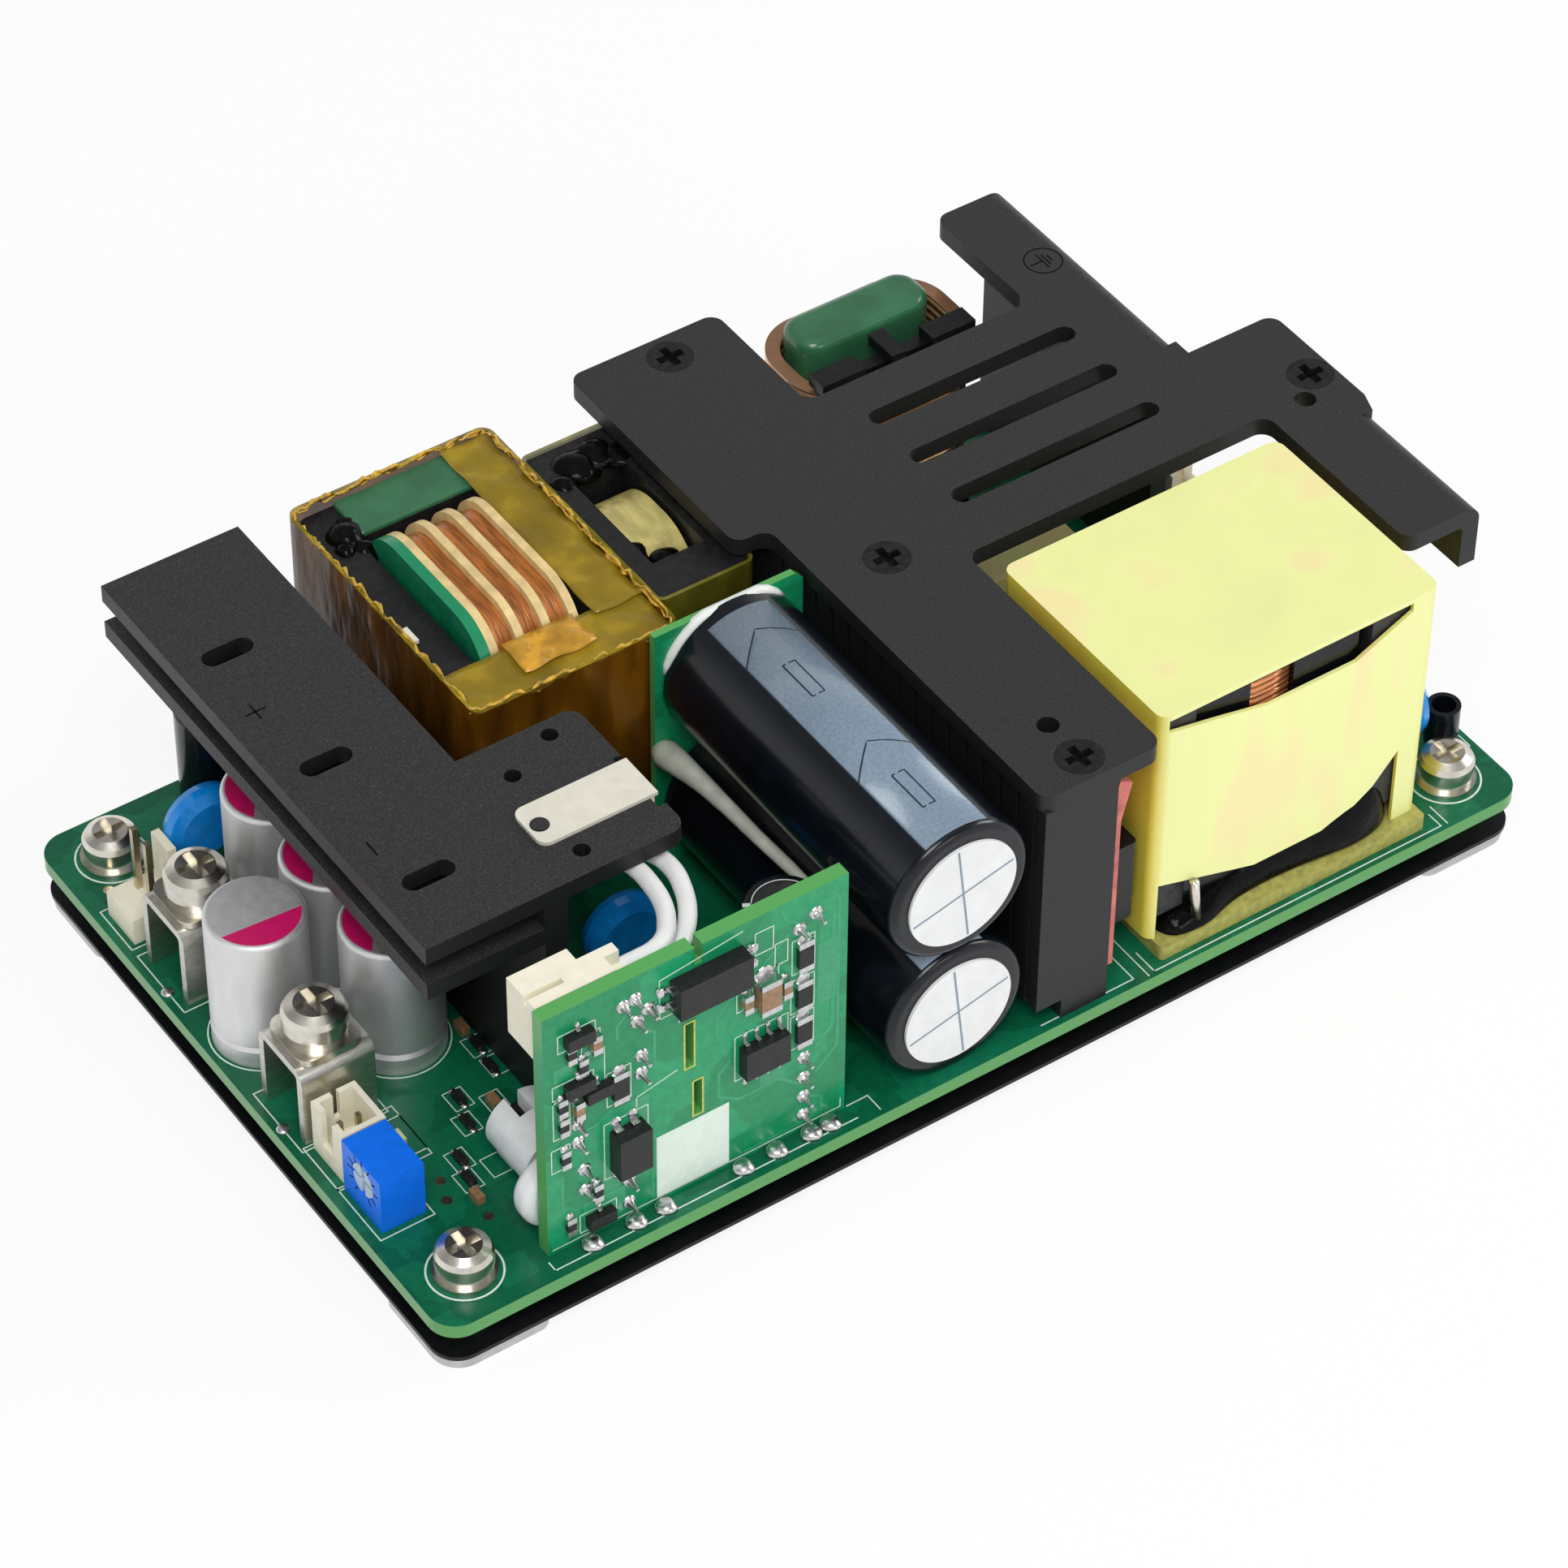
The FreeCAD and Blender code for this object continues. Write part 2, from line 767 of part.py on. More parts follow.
def base_plate():
    body = plate(
        "base_plate",
        rectangle(
            "-board_length / 2 + base_margin",
            "-board_width / 2 + base_margin",
            "board_length / 2 - base_margin",
            "board_width / 2 - base_margin",
            "board_corner",
        ),
        "0",
        "base_thickness",
    )
    notches = sketch_on(body, "XY_Plane", "base_plate_notches")
    run = "board_length / 2 - lug_length"
    reach = "board_width / 2"
    depth = "base_margin + lug_recess"
    add_outline(notches, rectangle(f"-({run})", f"-({reach})", run, f"-({reach}) + {depth}"))
    add_outline(notches, rectangle(f"-({run})", f"{reach} - base_margin - lug_recess", run, reach))
    run = "board_width / 2 - lug_length"
    reach = "board_length / 2"
    add_outline(notches, rectangle(f"-({reach})", f"-({run})", f"-({reach}) + {depth}", run))
    add_outline(notches, rectangle(f"{reach} - base_margin - lug_recess", f"-({run})", reach, run))
    pocket(body, notches, "base_thickness", towards_normal=True)
    lug_end = number("board_length / 2 - lug_length")
    lug_side = number("board_width / 2 - lug_length")

    def at_lug_end(edge):
        if edge.Length < number("base_thickness") - 0.01 or edge.BoundBox.ZLength < edge.Length - 0.01:
            return False
        spot = edge.CenterOfMass
        edge_y = number("board_width / 2 - lug_recess")
        edge_x = number("board_length / 2 - lug_recess")
        outside_y = abs(abs(spot.x) - lug_end) < 0.01 and abs(spot.y) > edge_y
        outside_x = abs(abs(spot.y) - lug_side) < 0.01 and abs(spot.x) > edge_x
        return outside_x or outside_y

    soften(body, "base_plate_rounds", "lug_round", at_lug_end)
    holes = sketch_on(body, "XY_Plane", "base_plate_holes")
    for x, y, _ in corner_places("0"):
        add_circle(holes, x, y, "base_hole_radius")
    pocket(body, holes, "base_thickness", towards_normal=True)
    keep(body)


def insulating_sheet():
    body = plate(
        "insulating_sheet",
        rectangle(
            "-board_length / 2 + sheet_margin",
            "-board_width / 2 + sheet_margin",
            "board_length / 2 - sheet_margin",
            "board_width / 2 - sheet_margin",
            "board_corner",
        ),
        "base_thickness",
        "sheet_thickness",
    )
    holes = sketch_on(body, "XY_Plane", "insulating_sheet_holes", "base_thickness")
    for x, y, _ in corner_places("0"):
        add_circle(holes, x, y, "spacer_radius + sheet_hole_clearance")
    pocket(body, holes, "sheet_thickness", towards_normal=True)
    keep(body)


def circuit_board():
    low = "(base_thickness + spacer_height)"
    body = plate(
        "circuit_board",
        rectangle(
            "-board_length / 2", "-board_width / 2", "board_length / 2", "board_width / 2", "board_corner"
        ),
        low,
        "board_thickness",
    )
    holes = sketch_on(body, "XY_Plane", "circuit_board_holes", low)
    for x, y, _ in corner_places("0"):
        add_circle(holes, x, y, "board_hole_radius")
    pocket(body, holes, "board_thickness", towards_normal=True)
    keep(body)


def ring(name, foot, outer, inner, height):
    return cut(
        name,
        cylinder(name + "_outside", foot, outer, height),
        cylinder(name + "_inside", foot, inner, height),
    )


def spring_washer(name, outer, inner, height):
    """A flat ring with one slit."""
    return cut(
        name,
        cylinder(name + "_outside", ("0", "0", "0"), outer, height),
        cylinder(name + "_inside", ("0", "0", "0"), inner, height),
        box(name + "_slit", ("0", "-spring_washer_slit / 2", "0"), (outer, "spring_washer_slit", height)),
    )


def pan_screw(name, head_radius, head_height, shank_radius, shank_length):
    """A pan head screw with a cross recess, standing on its head's underside."""
    body = new_body(name)
    sketch = sketch_on(body, "XZ_Plane", name + "_section")
    crown = f"({head_height}) - head_rounding"
    add_outline(
        sketch,
        [
            ("0", f"-({shank_length})"),
            (shank_radius, f"-({shank_length})"),
            (shank_radius, "0"),
            (head_radius, "0"),
            (head_radius, crown),
            (f"({head_radius}) * head_shoulder_share", f"({crown}) + head_rounding * head_shoulder_rise"),
            (f"({head_radius}) * head_flat_share", head_height),
            ("0", head_height),
        ],
    )
    turn(body, sketch)
    cross_recess(body, name, f"({head_radius}) * recess_share", head_height)
    return body


def cross_recess(body, name, reach, top):
    sketch = sketch_on(body, "XY_Plane", name + "_recess", top)
    half = "recess_width / 2"
    add_outline(
        sketch,
        [
            (f"-({reach})", f"-{half}"),
            (f"-{half}", f"-{half}"),
            (f"-{half}", f"-({reach})"),
            (half, f"-({reach})"),
            (half, f"-{half}"),
            (reach, f"-{half}"),
            (reach, half),
            (half, half),
            (half, reach),
            (f"-{half}", reach),
            (f"-{half}", half),
            (f"-({reach})", half),
        ],
    )
    pocket(body, sketch, "recess_depth")


def corner_fasteners():
    spacer = ring("spacer", ("0", "0", "0"), "spacer_radius", "spacer_bore", "spacer_height")
    keep(copies("spacers", spacer, corner_places("base_thickness")))
    bore = "shank_radius + shank_clearance"
    flat = ring("flat_washer", ("0", "0", "0"), "washer_radius", bore, "washer_thickness")
    flats = copies("corner_flat_washers", flat, corner_places(DECK))
    split = spring_washer(
        "split_washer", "spring_washer_radius", "shank_radius + shank_clearance", "spring_washer_thickness"
    )
    splits = copies("corner_spring_washers", split, corner_places(f"{DECK} + washer_thickness"))
    keep(group("corner_washers", flats, splits))
    screw = pan_screw(
        "corner_screw",
        "corner_head_radius",
        "corner_head_height",
        "shank_radius",
        "corner_shank_length",
    )
    seat = f"{DECK} + washer_thickness + spring_washer_thickness"
    keep(copies("corner_screws", screw, corner_places(seat)))


PLATE_SCREWS = ("near_screw", "middle_screw", "far_screw", "tongue_screw")


def bent_flange(body, name, near, far, low):
    """Adds the plate's rounded bend and the flange that hangs from it."""
    right = name + "_right"
    inner = f"{right} - plate_thickness"
    root = f"{inner} - 2 * bend_inner"
    top = f"{DECK} + plate_top"
    bar_along_y(
        body,
        name + "_flange",
        [
            (root, top),
            (right, top, "bend_round"),
            (right, low),
            (inner, low),
            (inner, PLATE_UNDER, "bend_inner"),
            (root, PLATE_UNDER),
        ],
        near,
        f"({far}) - ({near})",
    )


def main_plate():
    bend = "(plate_thickness + 2 * bend_inner)"
    body = plate(
        "main_heatsink_plate",
        [
            ("plate_left", "plate_near", "plate_round"),
            ("near_arm_right", "plate_near", "plate_round"),
            ("near_arm_right", "bridge_near", "plate_round"),
            ("hook_left", "bridge_near", "plate_round"),
            ("hook_left", "hook_near", "plate_round"),
            (f"hook_right - {bend}", "hook_near"),
            (f"hook_right - {bend}", "hook_far"),
            ("hook_right", "hook_far"),
            ("tongue_right", "tongue_near"),
            ("tongue_right", "tongue_far", "plate_round"),
            ("leg_right", "tongue_far"),
            ("leg_right", "leg_near"),
            (f"leg_right - {bend}", "leg_near"),
            (f"leg_right - {bend}", "plate_far"),
            ("far_arm_left", "plate_far", "plate_round"),
            ("far_arm_left", "bay_near", "plate_round"),
            ("bay_left", "bay_near", "plate_round"),
            ("bay_left", "plate_far", "plate_round"),
            ("left_arm_left", "plate_far", "plate_round"),
            ("left_arm_left", "left_arm_near", "plate_round"),
            ("plate_left", "left_arm_near", "plate_round"),
        ],
        PLATE_UNDER,
        "plate_thickness",
    )
    top = f"{DECK} + plate_top"
    bent_flange(body, "hook", "hook_near", "hook_far", f"{top} - hook_drop")
    bent_flange(body, "leg", "leg_near", "plate_far", DECK)
    slots = sketch_on(body, "XY_Plane", "plate_slots", top)
    for row in range(3):
        add_slot(slots, "slot_left", "slot_right", f"slot_first + {row} * slot_pitch", "slot_radius")
    pocket(body, slots, "plate_thickness")
    holes = sketch_on(body, "XY_Plane", "plate_holes", top)
    for hole in ("near_small_hole", "hook_small_hole"):
        add_circle(holes, hole + "_x", hole + "_y", "small_hole_radius")
    for screw in PLATE_SCREWS:
        add_circle(holes, screw + "_x", screw + "_y", "screw_hole_radius")
    pocket(body, holes, "plate_thickness")

    def screw_rim(edge):
        bounds = edge.BoundBox
        across = number("2 * screw_hole_radius")
        round_rim = abs(bounds.XLength - across) < 0.01 and abs(bounds.YLength - across) < 0.01
        return round_rim and abs(bounds.ZMin - number(top)) < 0.01

    soften(body, "plate_countersinks", "countersink", screw_rim, kind="Chamfer")
    keep(body)


def plate_screws():
    body = new_body("flush_screw")
    sketch = sketch_on(body, "XZ_Plane", "flush_screw_section")
    add_outline(
        sketch,
        [
            ("0", "-flush_shank_length"),
            ("shank_radius", "-flush_shank_length"),
            ("shank_radius", "-flush_head_height"),
            ("flush_head_radius", "0"),
            ("0", "0"),
        ],
    )
    turn(body, sketch)
    cross_recess(body, "flush_screw", "flush_head_radius * flush_recess_share", "0")
    places = [(screw + "_x", screw + "_y", f"{DECK} + plate_top") for screw in PLATE_SCREWS]
    keep(copies("heatsink_screws", body, places))


def heatsink_wall():
    body = extrusion_along_y(
        "heatsink_wall",
        [
            ("wall_left", f"{DECK} + wall_lift"),
            ("wall_foot_left", f"{DECK} + wall_lift"),
            ("wall_foot_left", DECK),
            ("wall_right", DECK),
            ("wall_right", PLATE_UNDER),
            ("wall_left", PLATE_UNDER),
        ],
        "plate_near",
        "wall_far - plate_near",
    )
    holes = sketch_on(body, "XY_Plane", "wall_holes", PLATE_UNDER)
    for screw in PLATE_SCREWS[:3]:
        add_circle(holes, screw + "_x", screw + "_y", "shank_radius + shank_clearance")
    pocket(body, holes, "flush_shank_length")
    pitch = "((wall_far - plate_near) / wall_groove_count)"
    groove = sketch_on(body, "XY_Plane", "wall_groove", f"{DECK} + wall_lift")
    add_outline(
        groove,
        rectangle(
            "wall_left",
            f"plate_near + {pitch} / 2",
            "wall_left + wall_groove_depth",
            f"plate_near + {pitch} / 2 + wall_groove_width",
        ),
    )
    first = pocket(body, groove, f"{PLATE_UNDER} - {DECK} - wall_lift", towards_normal=True)
    grooves = body.newObject("PartDesign::LinearPattern", "wall_grooves")
    grooves.Originals = [first]
    grooves.Direction = (groove, ["V_Axis"])
    bind(grooves, Length=f"(wall_groove_count - 1) * {pitch}", Occurrences="wall_groove_count")
    body.Tip = grooves
    keep(body)


def plate_post():
    """The threaded post that the plate's tongue is screwed to."""
    body = new_body("plate_post")
    sketch = sketch_on(body, "XY_Plane", "plate_post_outline", DECK)
    add_circle(sketch, "tongue_screw_x", "tongue_screw_y", "post_radius")
    pad(body, sketch, "plate_top - plate_thickness")
    hole = sketch_on(body, "XY_Plane", "plate_post_hole", PLATE_UNDER)
    add_circle(hole, "tongue_screw_x", "tongue_screw_y", "shank_radius + shank_clearance")
    pocket(body, hole, "flush_shank_length")
    keep(body)


def silicone_pad():
    body = extrusion_along_y(
        "silicone_pad",
        [
            ("wall_right", f"{DECK} + silicone_low"),
            ("wall_right + silicone_thickness", f"{DECK} + silicone_low"),
            ("wall_right + silicone_thickness", f"{PLATE_UNDER} - 7 * silicone_thickness"),
            ("wall_right + silicone_thickness + silicone_flare", f"{PLATE_UNDER} - 2 * silicone_thickness"),
            ("wall_right + silicone_flare / 2", f"{PLATE_UNDER} - silicone_thickness"),
            ("wall_right", f"{PLATE_UNDER} - 3 * silicone_thickness"),
        ],
        "plate_near + silicone_thickness / 2",
        "silicone_far - plate_near",
    )
    keep(body)


def power_device(name, face_x, near, low, width, height, pitch, count):
    """A flat moulded package with its leads going down to the board."""
    body = new_body(name)
    sketch = sketch_on(body, "XY_Plane", name + "_case", f"{DECK} + {low}")
    add_outline(
        sketch, rectangle(face_x, near, f"{face_x} + device_depth", f"{near} + {width}", "device_round")
    )
    pad(body, sketch, height)
    leads = sketch_on(body, "XY_Plane", name + "_leads", DECK)
    middle = f"({near}) + ({width}) / 2"
    for index in range(count):
        start = f"{middle} + {index - (count - 1) / 2} * {pitch} - lead_width / 2"
        back = f"{face_x} + device_depth / 2"
        add_outline(leads, rectangle(back, start, f"{back} + lead_depth", f"{start} + lead_width"))
    pad(body, leads, low)
    return body


def power_devices():
    """Packages bolted to the heatsinks: a switch and a bridge inside, two rectifiers at the output."""
    face = "wall_right + silicone_thickness"
    switch = power_device(
        "switching_transistor",
        face,
        "device_near",
        "device_low",
        "device_width",
        "device_height",
        "lead_pitch",
        3,
    )
    rectifier = power_device(
        "output_rectifier",
        "output_right",
        "rectifier_first_y",
        "device_low",
        "device_width",
        "device_height",
        "lead_pitch",
        3,
    )
    pair = copies("output_rectifiers", rectifier, [("0", "0", "0"), ("0", "rectifier_pitch", "0")])
    bridge = power_device(
        "input_rectifier",
        "wall_right",
        "bridge_body_near",
        "device_low",
        "bridge_body_width",
        "bridge_body_height",
        "bridge_lead_pitch",
        4,
    )
    keep(group("power_packages", switch, bridge, pair))


def choke_tape():
    """Tape round the choke and over its top, with a window in front and a lifted lower edge."""
    height = "(choke_top - choke_tray_height)"
    low = f"({DECK} + choke_tray_height)"
    body = plate(
        "choke_tape",
        rectangle("choke_left", "choke_near", "choke_right", "choke_far", "choke_round"),
        low,
        height,
    )
    hollow = sketch_on(body, "XY_Plane", "choke_tape_hollow", low)
    inset = "tape_thickness"
    add_outline(
        hollow,
        rectangle(
            f"choke_left + {inset}",
            f"choke_near + {inset}",
            f"choke_right - {inset}",
            f"choke_far - {inset}",
        ),
    )
    pocket(body, hollow, f"{height} - tape_thickness", towards_normal=True)
    front = sketch_on(body, "XZ_Plane", "choke_tape_front", f"-(choke_near + 2 * {inset})")
    left = "(choke_left + choke_left_strip)"
    right = "(choke_right - choke_right_strip)"
    top = f"({DECK} + choke_top)"
    add_outline(
        front,
        [
            (left, f"{top} - choke_window_lip"),
            (left, f"{top} - choke_window_left_drop"),
            (f"{left} + choke_window_knee", f"{top} - choke_window_knee_drop"),
            (f"{left} + choke_window_run", f"{top} - choke_window_drop"),
            (f"{right} - choke_window_rise", f"{top} - choke_window_drop"),
            (right, f"{top} - choke_window_right_drop"),
            (right, f"{top} - choke_window_lip"),
        ],
    )
    add_outline(
        front,
        [
            (left, low),
            (right, low),
            (right, f"{DECK} + choke_skirt_right"),
            (f"{right} - choke_skirt_bend", f"{DECK} + choke_skirt_bend_height"),
            (f"{right} - choke_skirt_rise", f"{DECK} + choke_skirt_low"),
            (f"{left} + choke_skirt_run", f"{DECK} + choke_skirt_low"),
            (left, f"{DECK} + choke_skirt_left"),
        ],
    )
    pocket(body, front, "3 * tape_thickness", towards_normal=True)
    keep(body)


def choke_tray():
    body = plate(
        "choke_tray",
        rectangle(
            "choke_left + choke_tray_side", "choke_tray_near", "choke_right", "choke_far", "tray_round"
        ),
        DECK,
        "choke_tray_height",
    )
    keep(body)


def choke_parts():
    """A ferrite frame open towards the near edge, round a black bobbin with a copper coil."""
    gap = "(tape_thickness + core_gap)"
    near = f"(choke_near + {gap})"
    depth = f"(choke_far - choke_near - 2 * {gap})"
    low = f"({DECK} + choke_core_low)"
    high = f"({DECK} + choke_top - {gap})"
    core_left = f"(choke_left + {gap})"
    core_right = f"(choke_right - {gap})"
    left_post = box("choke_left_post", (core_left, near, low), ("choke_left_post", depth, f"{high} - {low}"))
    right_post = box(
        "choke_right_post",
        (f"{core_right} - choke_right_post", near, low),
        ("choke_right_post", depth, f"{high} - {low}"),
    )
    back = box(
        "choke_core_back",
        (core_left, f"choke_far - {gap} - choke_leg_depth", low),
        (f"{core_right} - {core_left}", "choke_leg_depth", f"{high} - {low}"),
    )
    keep(fuse("choke_core", left_post, right_post, back))
    bobbin_near = f"({near} + choke_bobbin_gap)"
    bobbin_far = f"(choke_far - {gap} - choke_leg_depth - choke_bobbin_gap)"
    bobbin_low = f"({DECK} + choke_tray_height)"
    flange_high = f"({DECK} + choke_flange_top)"
    length = "(choke_bobbin_right - choke_bobbin_left)"
    block = box(
        "choke_bobbin_block",
        ("choke_bobbin_left", bobbin_near, bobbin_low),
        (length, f"{bobbin_far} - {bobbin_near}", f"{flange_high} - {bobbin_low}"),
    )
    coil_low = f"({bobbin_low} + 2 * choke_cheek)"
    coil_high = f"({DECK} + choke_coil_top)"
    room = box(
        "choke_coil_room",
        ("choke_bobbin_left + choke_cheek", f"{bobbin_near} + choke_cheek", coil_low),
        (
            f"{length} - 2 * choke_cheek",
            f"{bobbin_far} - {bobbin_near} - 2 * choke_cheek",
            f"{flange_high} - {coil_low}",
        ),
    )
    window = box(
        "choke_front_window",
        ("choke_slot_left", bobbin_near, f"{flange_high} - choke_slot_depth"),
        ("choke_slot_right - choke_slot_left", "2 * choke_cheek", "choke_slot_depth"),
    )
    lid = box(
        "choke_bobbin_lid",
        ("choke_bobbin_left", bobbin_near, f"{flange_high} - choke_cheek"),
        (length, "4 * choke_cheek", "choke_cheek"),
    )
    lid_gap = box(
        "choke_lid_gap",
        ("choke_slot_left", bobbin_near, f"{flange_high} - choke_cheek"),
        ("choke_slot_right - choke_slot_left", "4 * choke_cheek", "choke_cheek"),
    )
    shell = cut("choke_bobbin_shell", block, room)
    flange = fuse("choke_bobbin_lidded", shell, lid)
    keep(cut("choke_bobbin", flange, window, lid_gap))
    coil = box(
        "choke_coil",
        ("choke_bobbin_left + choke_cheek", f"{bobbin_near} + choke_cheek", coil_low),
        (
            f"{length} - 2 * choke_cheek",
            f"{bobbin_far} - {bobbin_near} - 2 * choke_cheek",
            f"{flange_high} - choke_cheek - {coil_low}",
        ),
    )
    keep(coil)


def transformer_tape():
    body = plate(
        "transformer_tape",
        rectangle("amber_left", "amber_near", "amber_right", "amber_far", "amber_round"),
        DECK,
        "amber_top",
    )
    hollow = sketch_on(body, "XY_Plane", "transformer_tape_hollow", f"{DECK} + amber_top")
    add_outline(
        hollow,
        rectangle(
            "amber_left + tape_thickness",
            "amber_near + tape_thickness",
            "amber_right - tape_thickness",
            "amber_far - tape_thickness",
            "amber_round - tape_thickness",
        ),
    )
    pocket(body, hollow, "amber_top")
    keep(body)


def transformer_core():
    """A ferrite frame, seen from above: two back plates joined by a far and a near leg."""
    gap = "(tape_thickness + core_gap)"
    body = plate(
        "transformer_core",
        rectangle(
            f"amber_left + {gap}",
            f"amber_near + {gap}",
            f"amber_right - {gap}",
            f"amber_far - {gap}",
            "core_round",
        ),
        DECK,
        "amber_top - core_drop",
    )
    window = sketch_on(body, "XY_Plane", "transformer_core_window", DECK)
    add_outline(
        window,
        rectangle(
            f"amber_left + {gap} + core_left_thickness",
            f"amber_near + {gap} + core_leg_depth",
            f"amber_right - {gap} - core_right_thickness",
            f"amber_far - {gap} - core_leg_depth",
        ),
    )
    pocket(body, window, "amber_top", towards_normal=True)
    keep(body)


def upright_disc(name, left, thickness, near, far, low, high, radius):
    """A plate standing across X, with rounded upper corners."""
    body = new_body(name)
    sketch = sketch_on(body, "YZ_Plane", name + "_outline", left)
    add_outline(sketch, [(near, low), (far, low), (far, high, radius), (near, high, radius)])
    pad(body, sketch, thickness)
    return body


def transformer_stack():
    """A small board, then papers and copper windings in turn, all standing across X."""
    near = "disc_near"
    far = "disc_far"
    low = DECK
    high = f"{DECK} + disc_top"
    keep(
        upright_disc(
            "transformer_disc_board",
            "disc_left",
            "disc_board_thickness",
            near,
            far,
            low,
            high,
            "disc_round",
        )
    )
    start = "disc_left + disc_board_thickness"
    paper = upright_disc("winding_paper", start, "paper_thickness", near, far, low, high, "disc_round")
    step = "paper_thickness + foil_thickness"
    keep(copies("winding_papers", paper, [(f"{index} * ({step})", "0", "0") for index in range(4)]))
    inset = "foil_inset"
    winding = upright_disc(
        "copper_winding",
        f"{start} + paper_thickness",
        "foil_thickness",
        f"{near} + {inset}",
        f"{far} - {inset}",
        low,
        f"{high} - {inset}",
        f"disc_round - {inset}",
    )
    keep(copies("copper_windings", winding, [(f"{index} * ({step})", "0", "0") for index in range(3)]))


def small_transformer():
    low = DECK
    height = "small_top"
    tape = plate(
        "small_transformer_tape",
        rectangle("small_left", "small_near", "small_right", "small_far", "small_round"),
        low,
        height,
    )
    hollow = sketch_on(tape, "XY_Plane", "small_tape_hollow", low)
    add_outline(
        hollow,
        rectangle(
            "small_left + tape_thickness",
            "small_near + tape_thickness",
            "small_right - tape_thickness",
            "small_far - tape_thickness",
            "small_round - tape_thickness",
        ),
    )
    pocket(tape, hollow, height, towards_normal=True)
    keep(tape)
    gap = "(tape_thickness + core_gap)"
    core = plate(
        "small_transformer_core",
        rectangle(
            f"small_left + {gap}", f"small_near + {gap}", f"small_right - {gap}", f"small_far - {gap}"
        ),
        low,
        f"{height} - core_gap",
    )
    window = sketch_on(core, "XY_Plane", "small_core_window", low)
    add_outline(
        window,
        rectangle(
            f"small_left + {gap} + small_bar",
            f"small_near + {gap} + small_end",
            f"small_right - {gap} - small_bar",
            f"small_far - {gap} - small_end",
        ),
    )
    pocket(core, window, height, towards_normal=True)
    keep(core)
    clear = "small_drum_gap"
    keep(
        upright_disc(
            "small_transformer_winding",
            f"small_left + {gap} + small_bar + {clear}",
            f"small_right - small_left - 2 * {gap} - 2 * small_bar - 2 * {clear}",
            f"small_near + {gap} + small_end + {clear}",
            f"small_far - {gap} - small_end - {clear}",
            low,
            f"{DECK} + small_top - small_drum_drop",
            "small_drum_round",
        )
    )


def riser_board():
    body = new_body("riser_board")
    sketch = sketch_on(body, "XZ_Plane", "riser_board_outline", "-(riser_near + riser_thickness)")
    high = f"{DECK} + riser_top"
    add_outline(
        sketch,
        [
            ("riser_left", DECK),
            ("riser_right", DECK),
            ("riser_right", f"{high} - riser_corner"),
            ("riser_right - riser_corner", high),
            ("riser_left", high),
        ],
    )
    pad(body, sketch, "riser_thickness")
    keep(body)


def storage_capacitors():
    """Two cans lying one on the other, ends towards the near edge."""
    body = new_body("storage_can")
    sketch = sketch_on(body, "XY_Plane", "storage_can_section")
    near = "storage_near"
    add_outline(
        sketch,
        [
            ("0", near),
            ("storage_radius", near, "storage_round"),
            ("storage_radius", "riser_near - storage_gap"),
            ("0", "riser_near - storage_gap"),
        ],
    )
    feature = body.newObject("PartDesign::Revolution", "storage_can_turned")
    feature.Profile = sketch
    feature.ReferenceAxis = (sketch, ["V_Axis"])
    feature.Angle = 360
    low = f"{DECK} + storage_radius"
    places = [("storage_x", "0", low), ("storage_x", "0", f"{low} + 2 * storage_radius")]
    keep(copies("storage_capacitors", body, places))
    disc = cylinder(
        "storage_disc",
        ("0", "storage_near - storage_disc_thickness", "0"),
        "storage_disc_radius",
        "storage_disc_thickness",
        along="Y",
    )
    keep(copies("storage_end_discs", disc, places))


def output_heatsink():
    top = f"({DECK} + output_top)"
    upper = f"({top} - output_thickness)"
    lower = f"({upper} - output_gap)"
    foot_left = "output_right - output_web"
    body = extrusion_along_y(
        "output_heatsink",
        [
            (foot_left, DECK),
            ("output_right", DECK),
            ("output_right", top),
            ("output_left", top),
            ("output_left", upper),
            (foot_left, upper),
            (foot_left, lower),
            ("output_left", lower),
            ("output_left", f"{lower} - output_thickness"),
            (foot_left, f"{lower} - output_thickness"),
        ],
        "output_near",
        "output_far - output_near",
    )
    tab = sketch_on(body, "XY_Plane", "output_tab", upper)
    notch = "tab_right - tab_notch_depth"
    root = "output_right - output_web / 2"
    add_outline(
        tab,
        [
            (root, "output_near"),
            ("tab_right", "output_near", "tab_round"),
            ("tab_right", "tab_notch_near"),
            (notch, "tab_notch_near"),
            (notch, "tab_notch_far"),
            ("tab_right", "tab_notch_far"),
            ("tab_right", "tab_far", "tab_round"),
            (root, "tab_far"),
        ],
    )
    pad(body, tab, "output_thickness")
    slots = sketch_on(body, "XY_Plane", "output_slots", top)
    for row in range(3):
        y = f"output_slot_first + {row} * output_slot_pitch"
        add_slot(slots, "output_slot_left", "output_slot_right", y, "output_slot_radius")
    for hole in ("tab_hole_a", "tab_hole_b", "tab_hole_c"):
        add_circle(slots, hole + "_x", hole + "_y", "tab_hole_radius")
    pocket(body, slots, "output_thickness")
    dimple = sketch_on(body, "XY_Plane", "output_dimple", top)
    add_circle(dimple, "clip_hole_x", "clip_hole_y", "clip_hole_radius - dimple_clearance")
    pad(body, dimple, "dimple_height")
    keep(body)


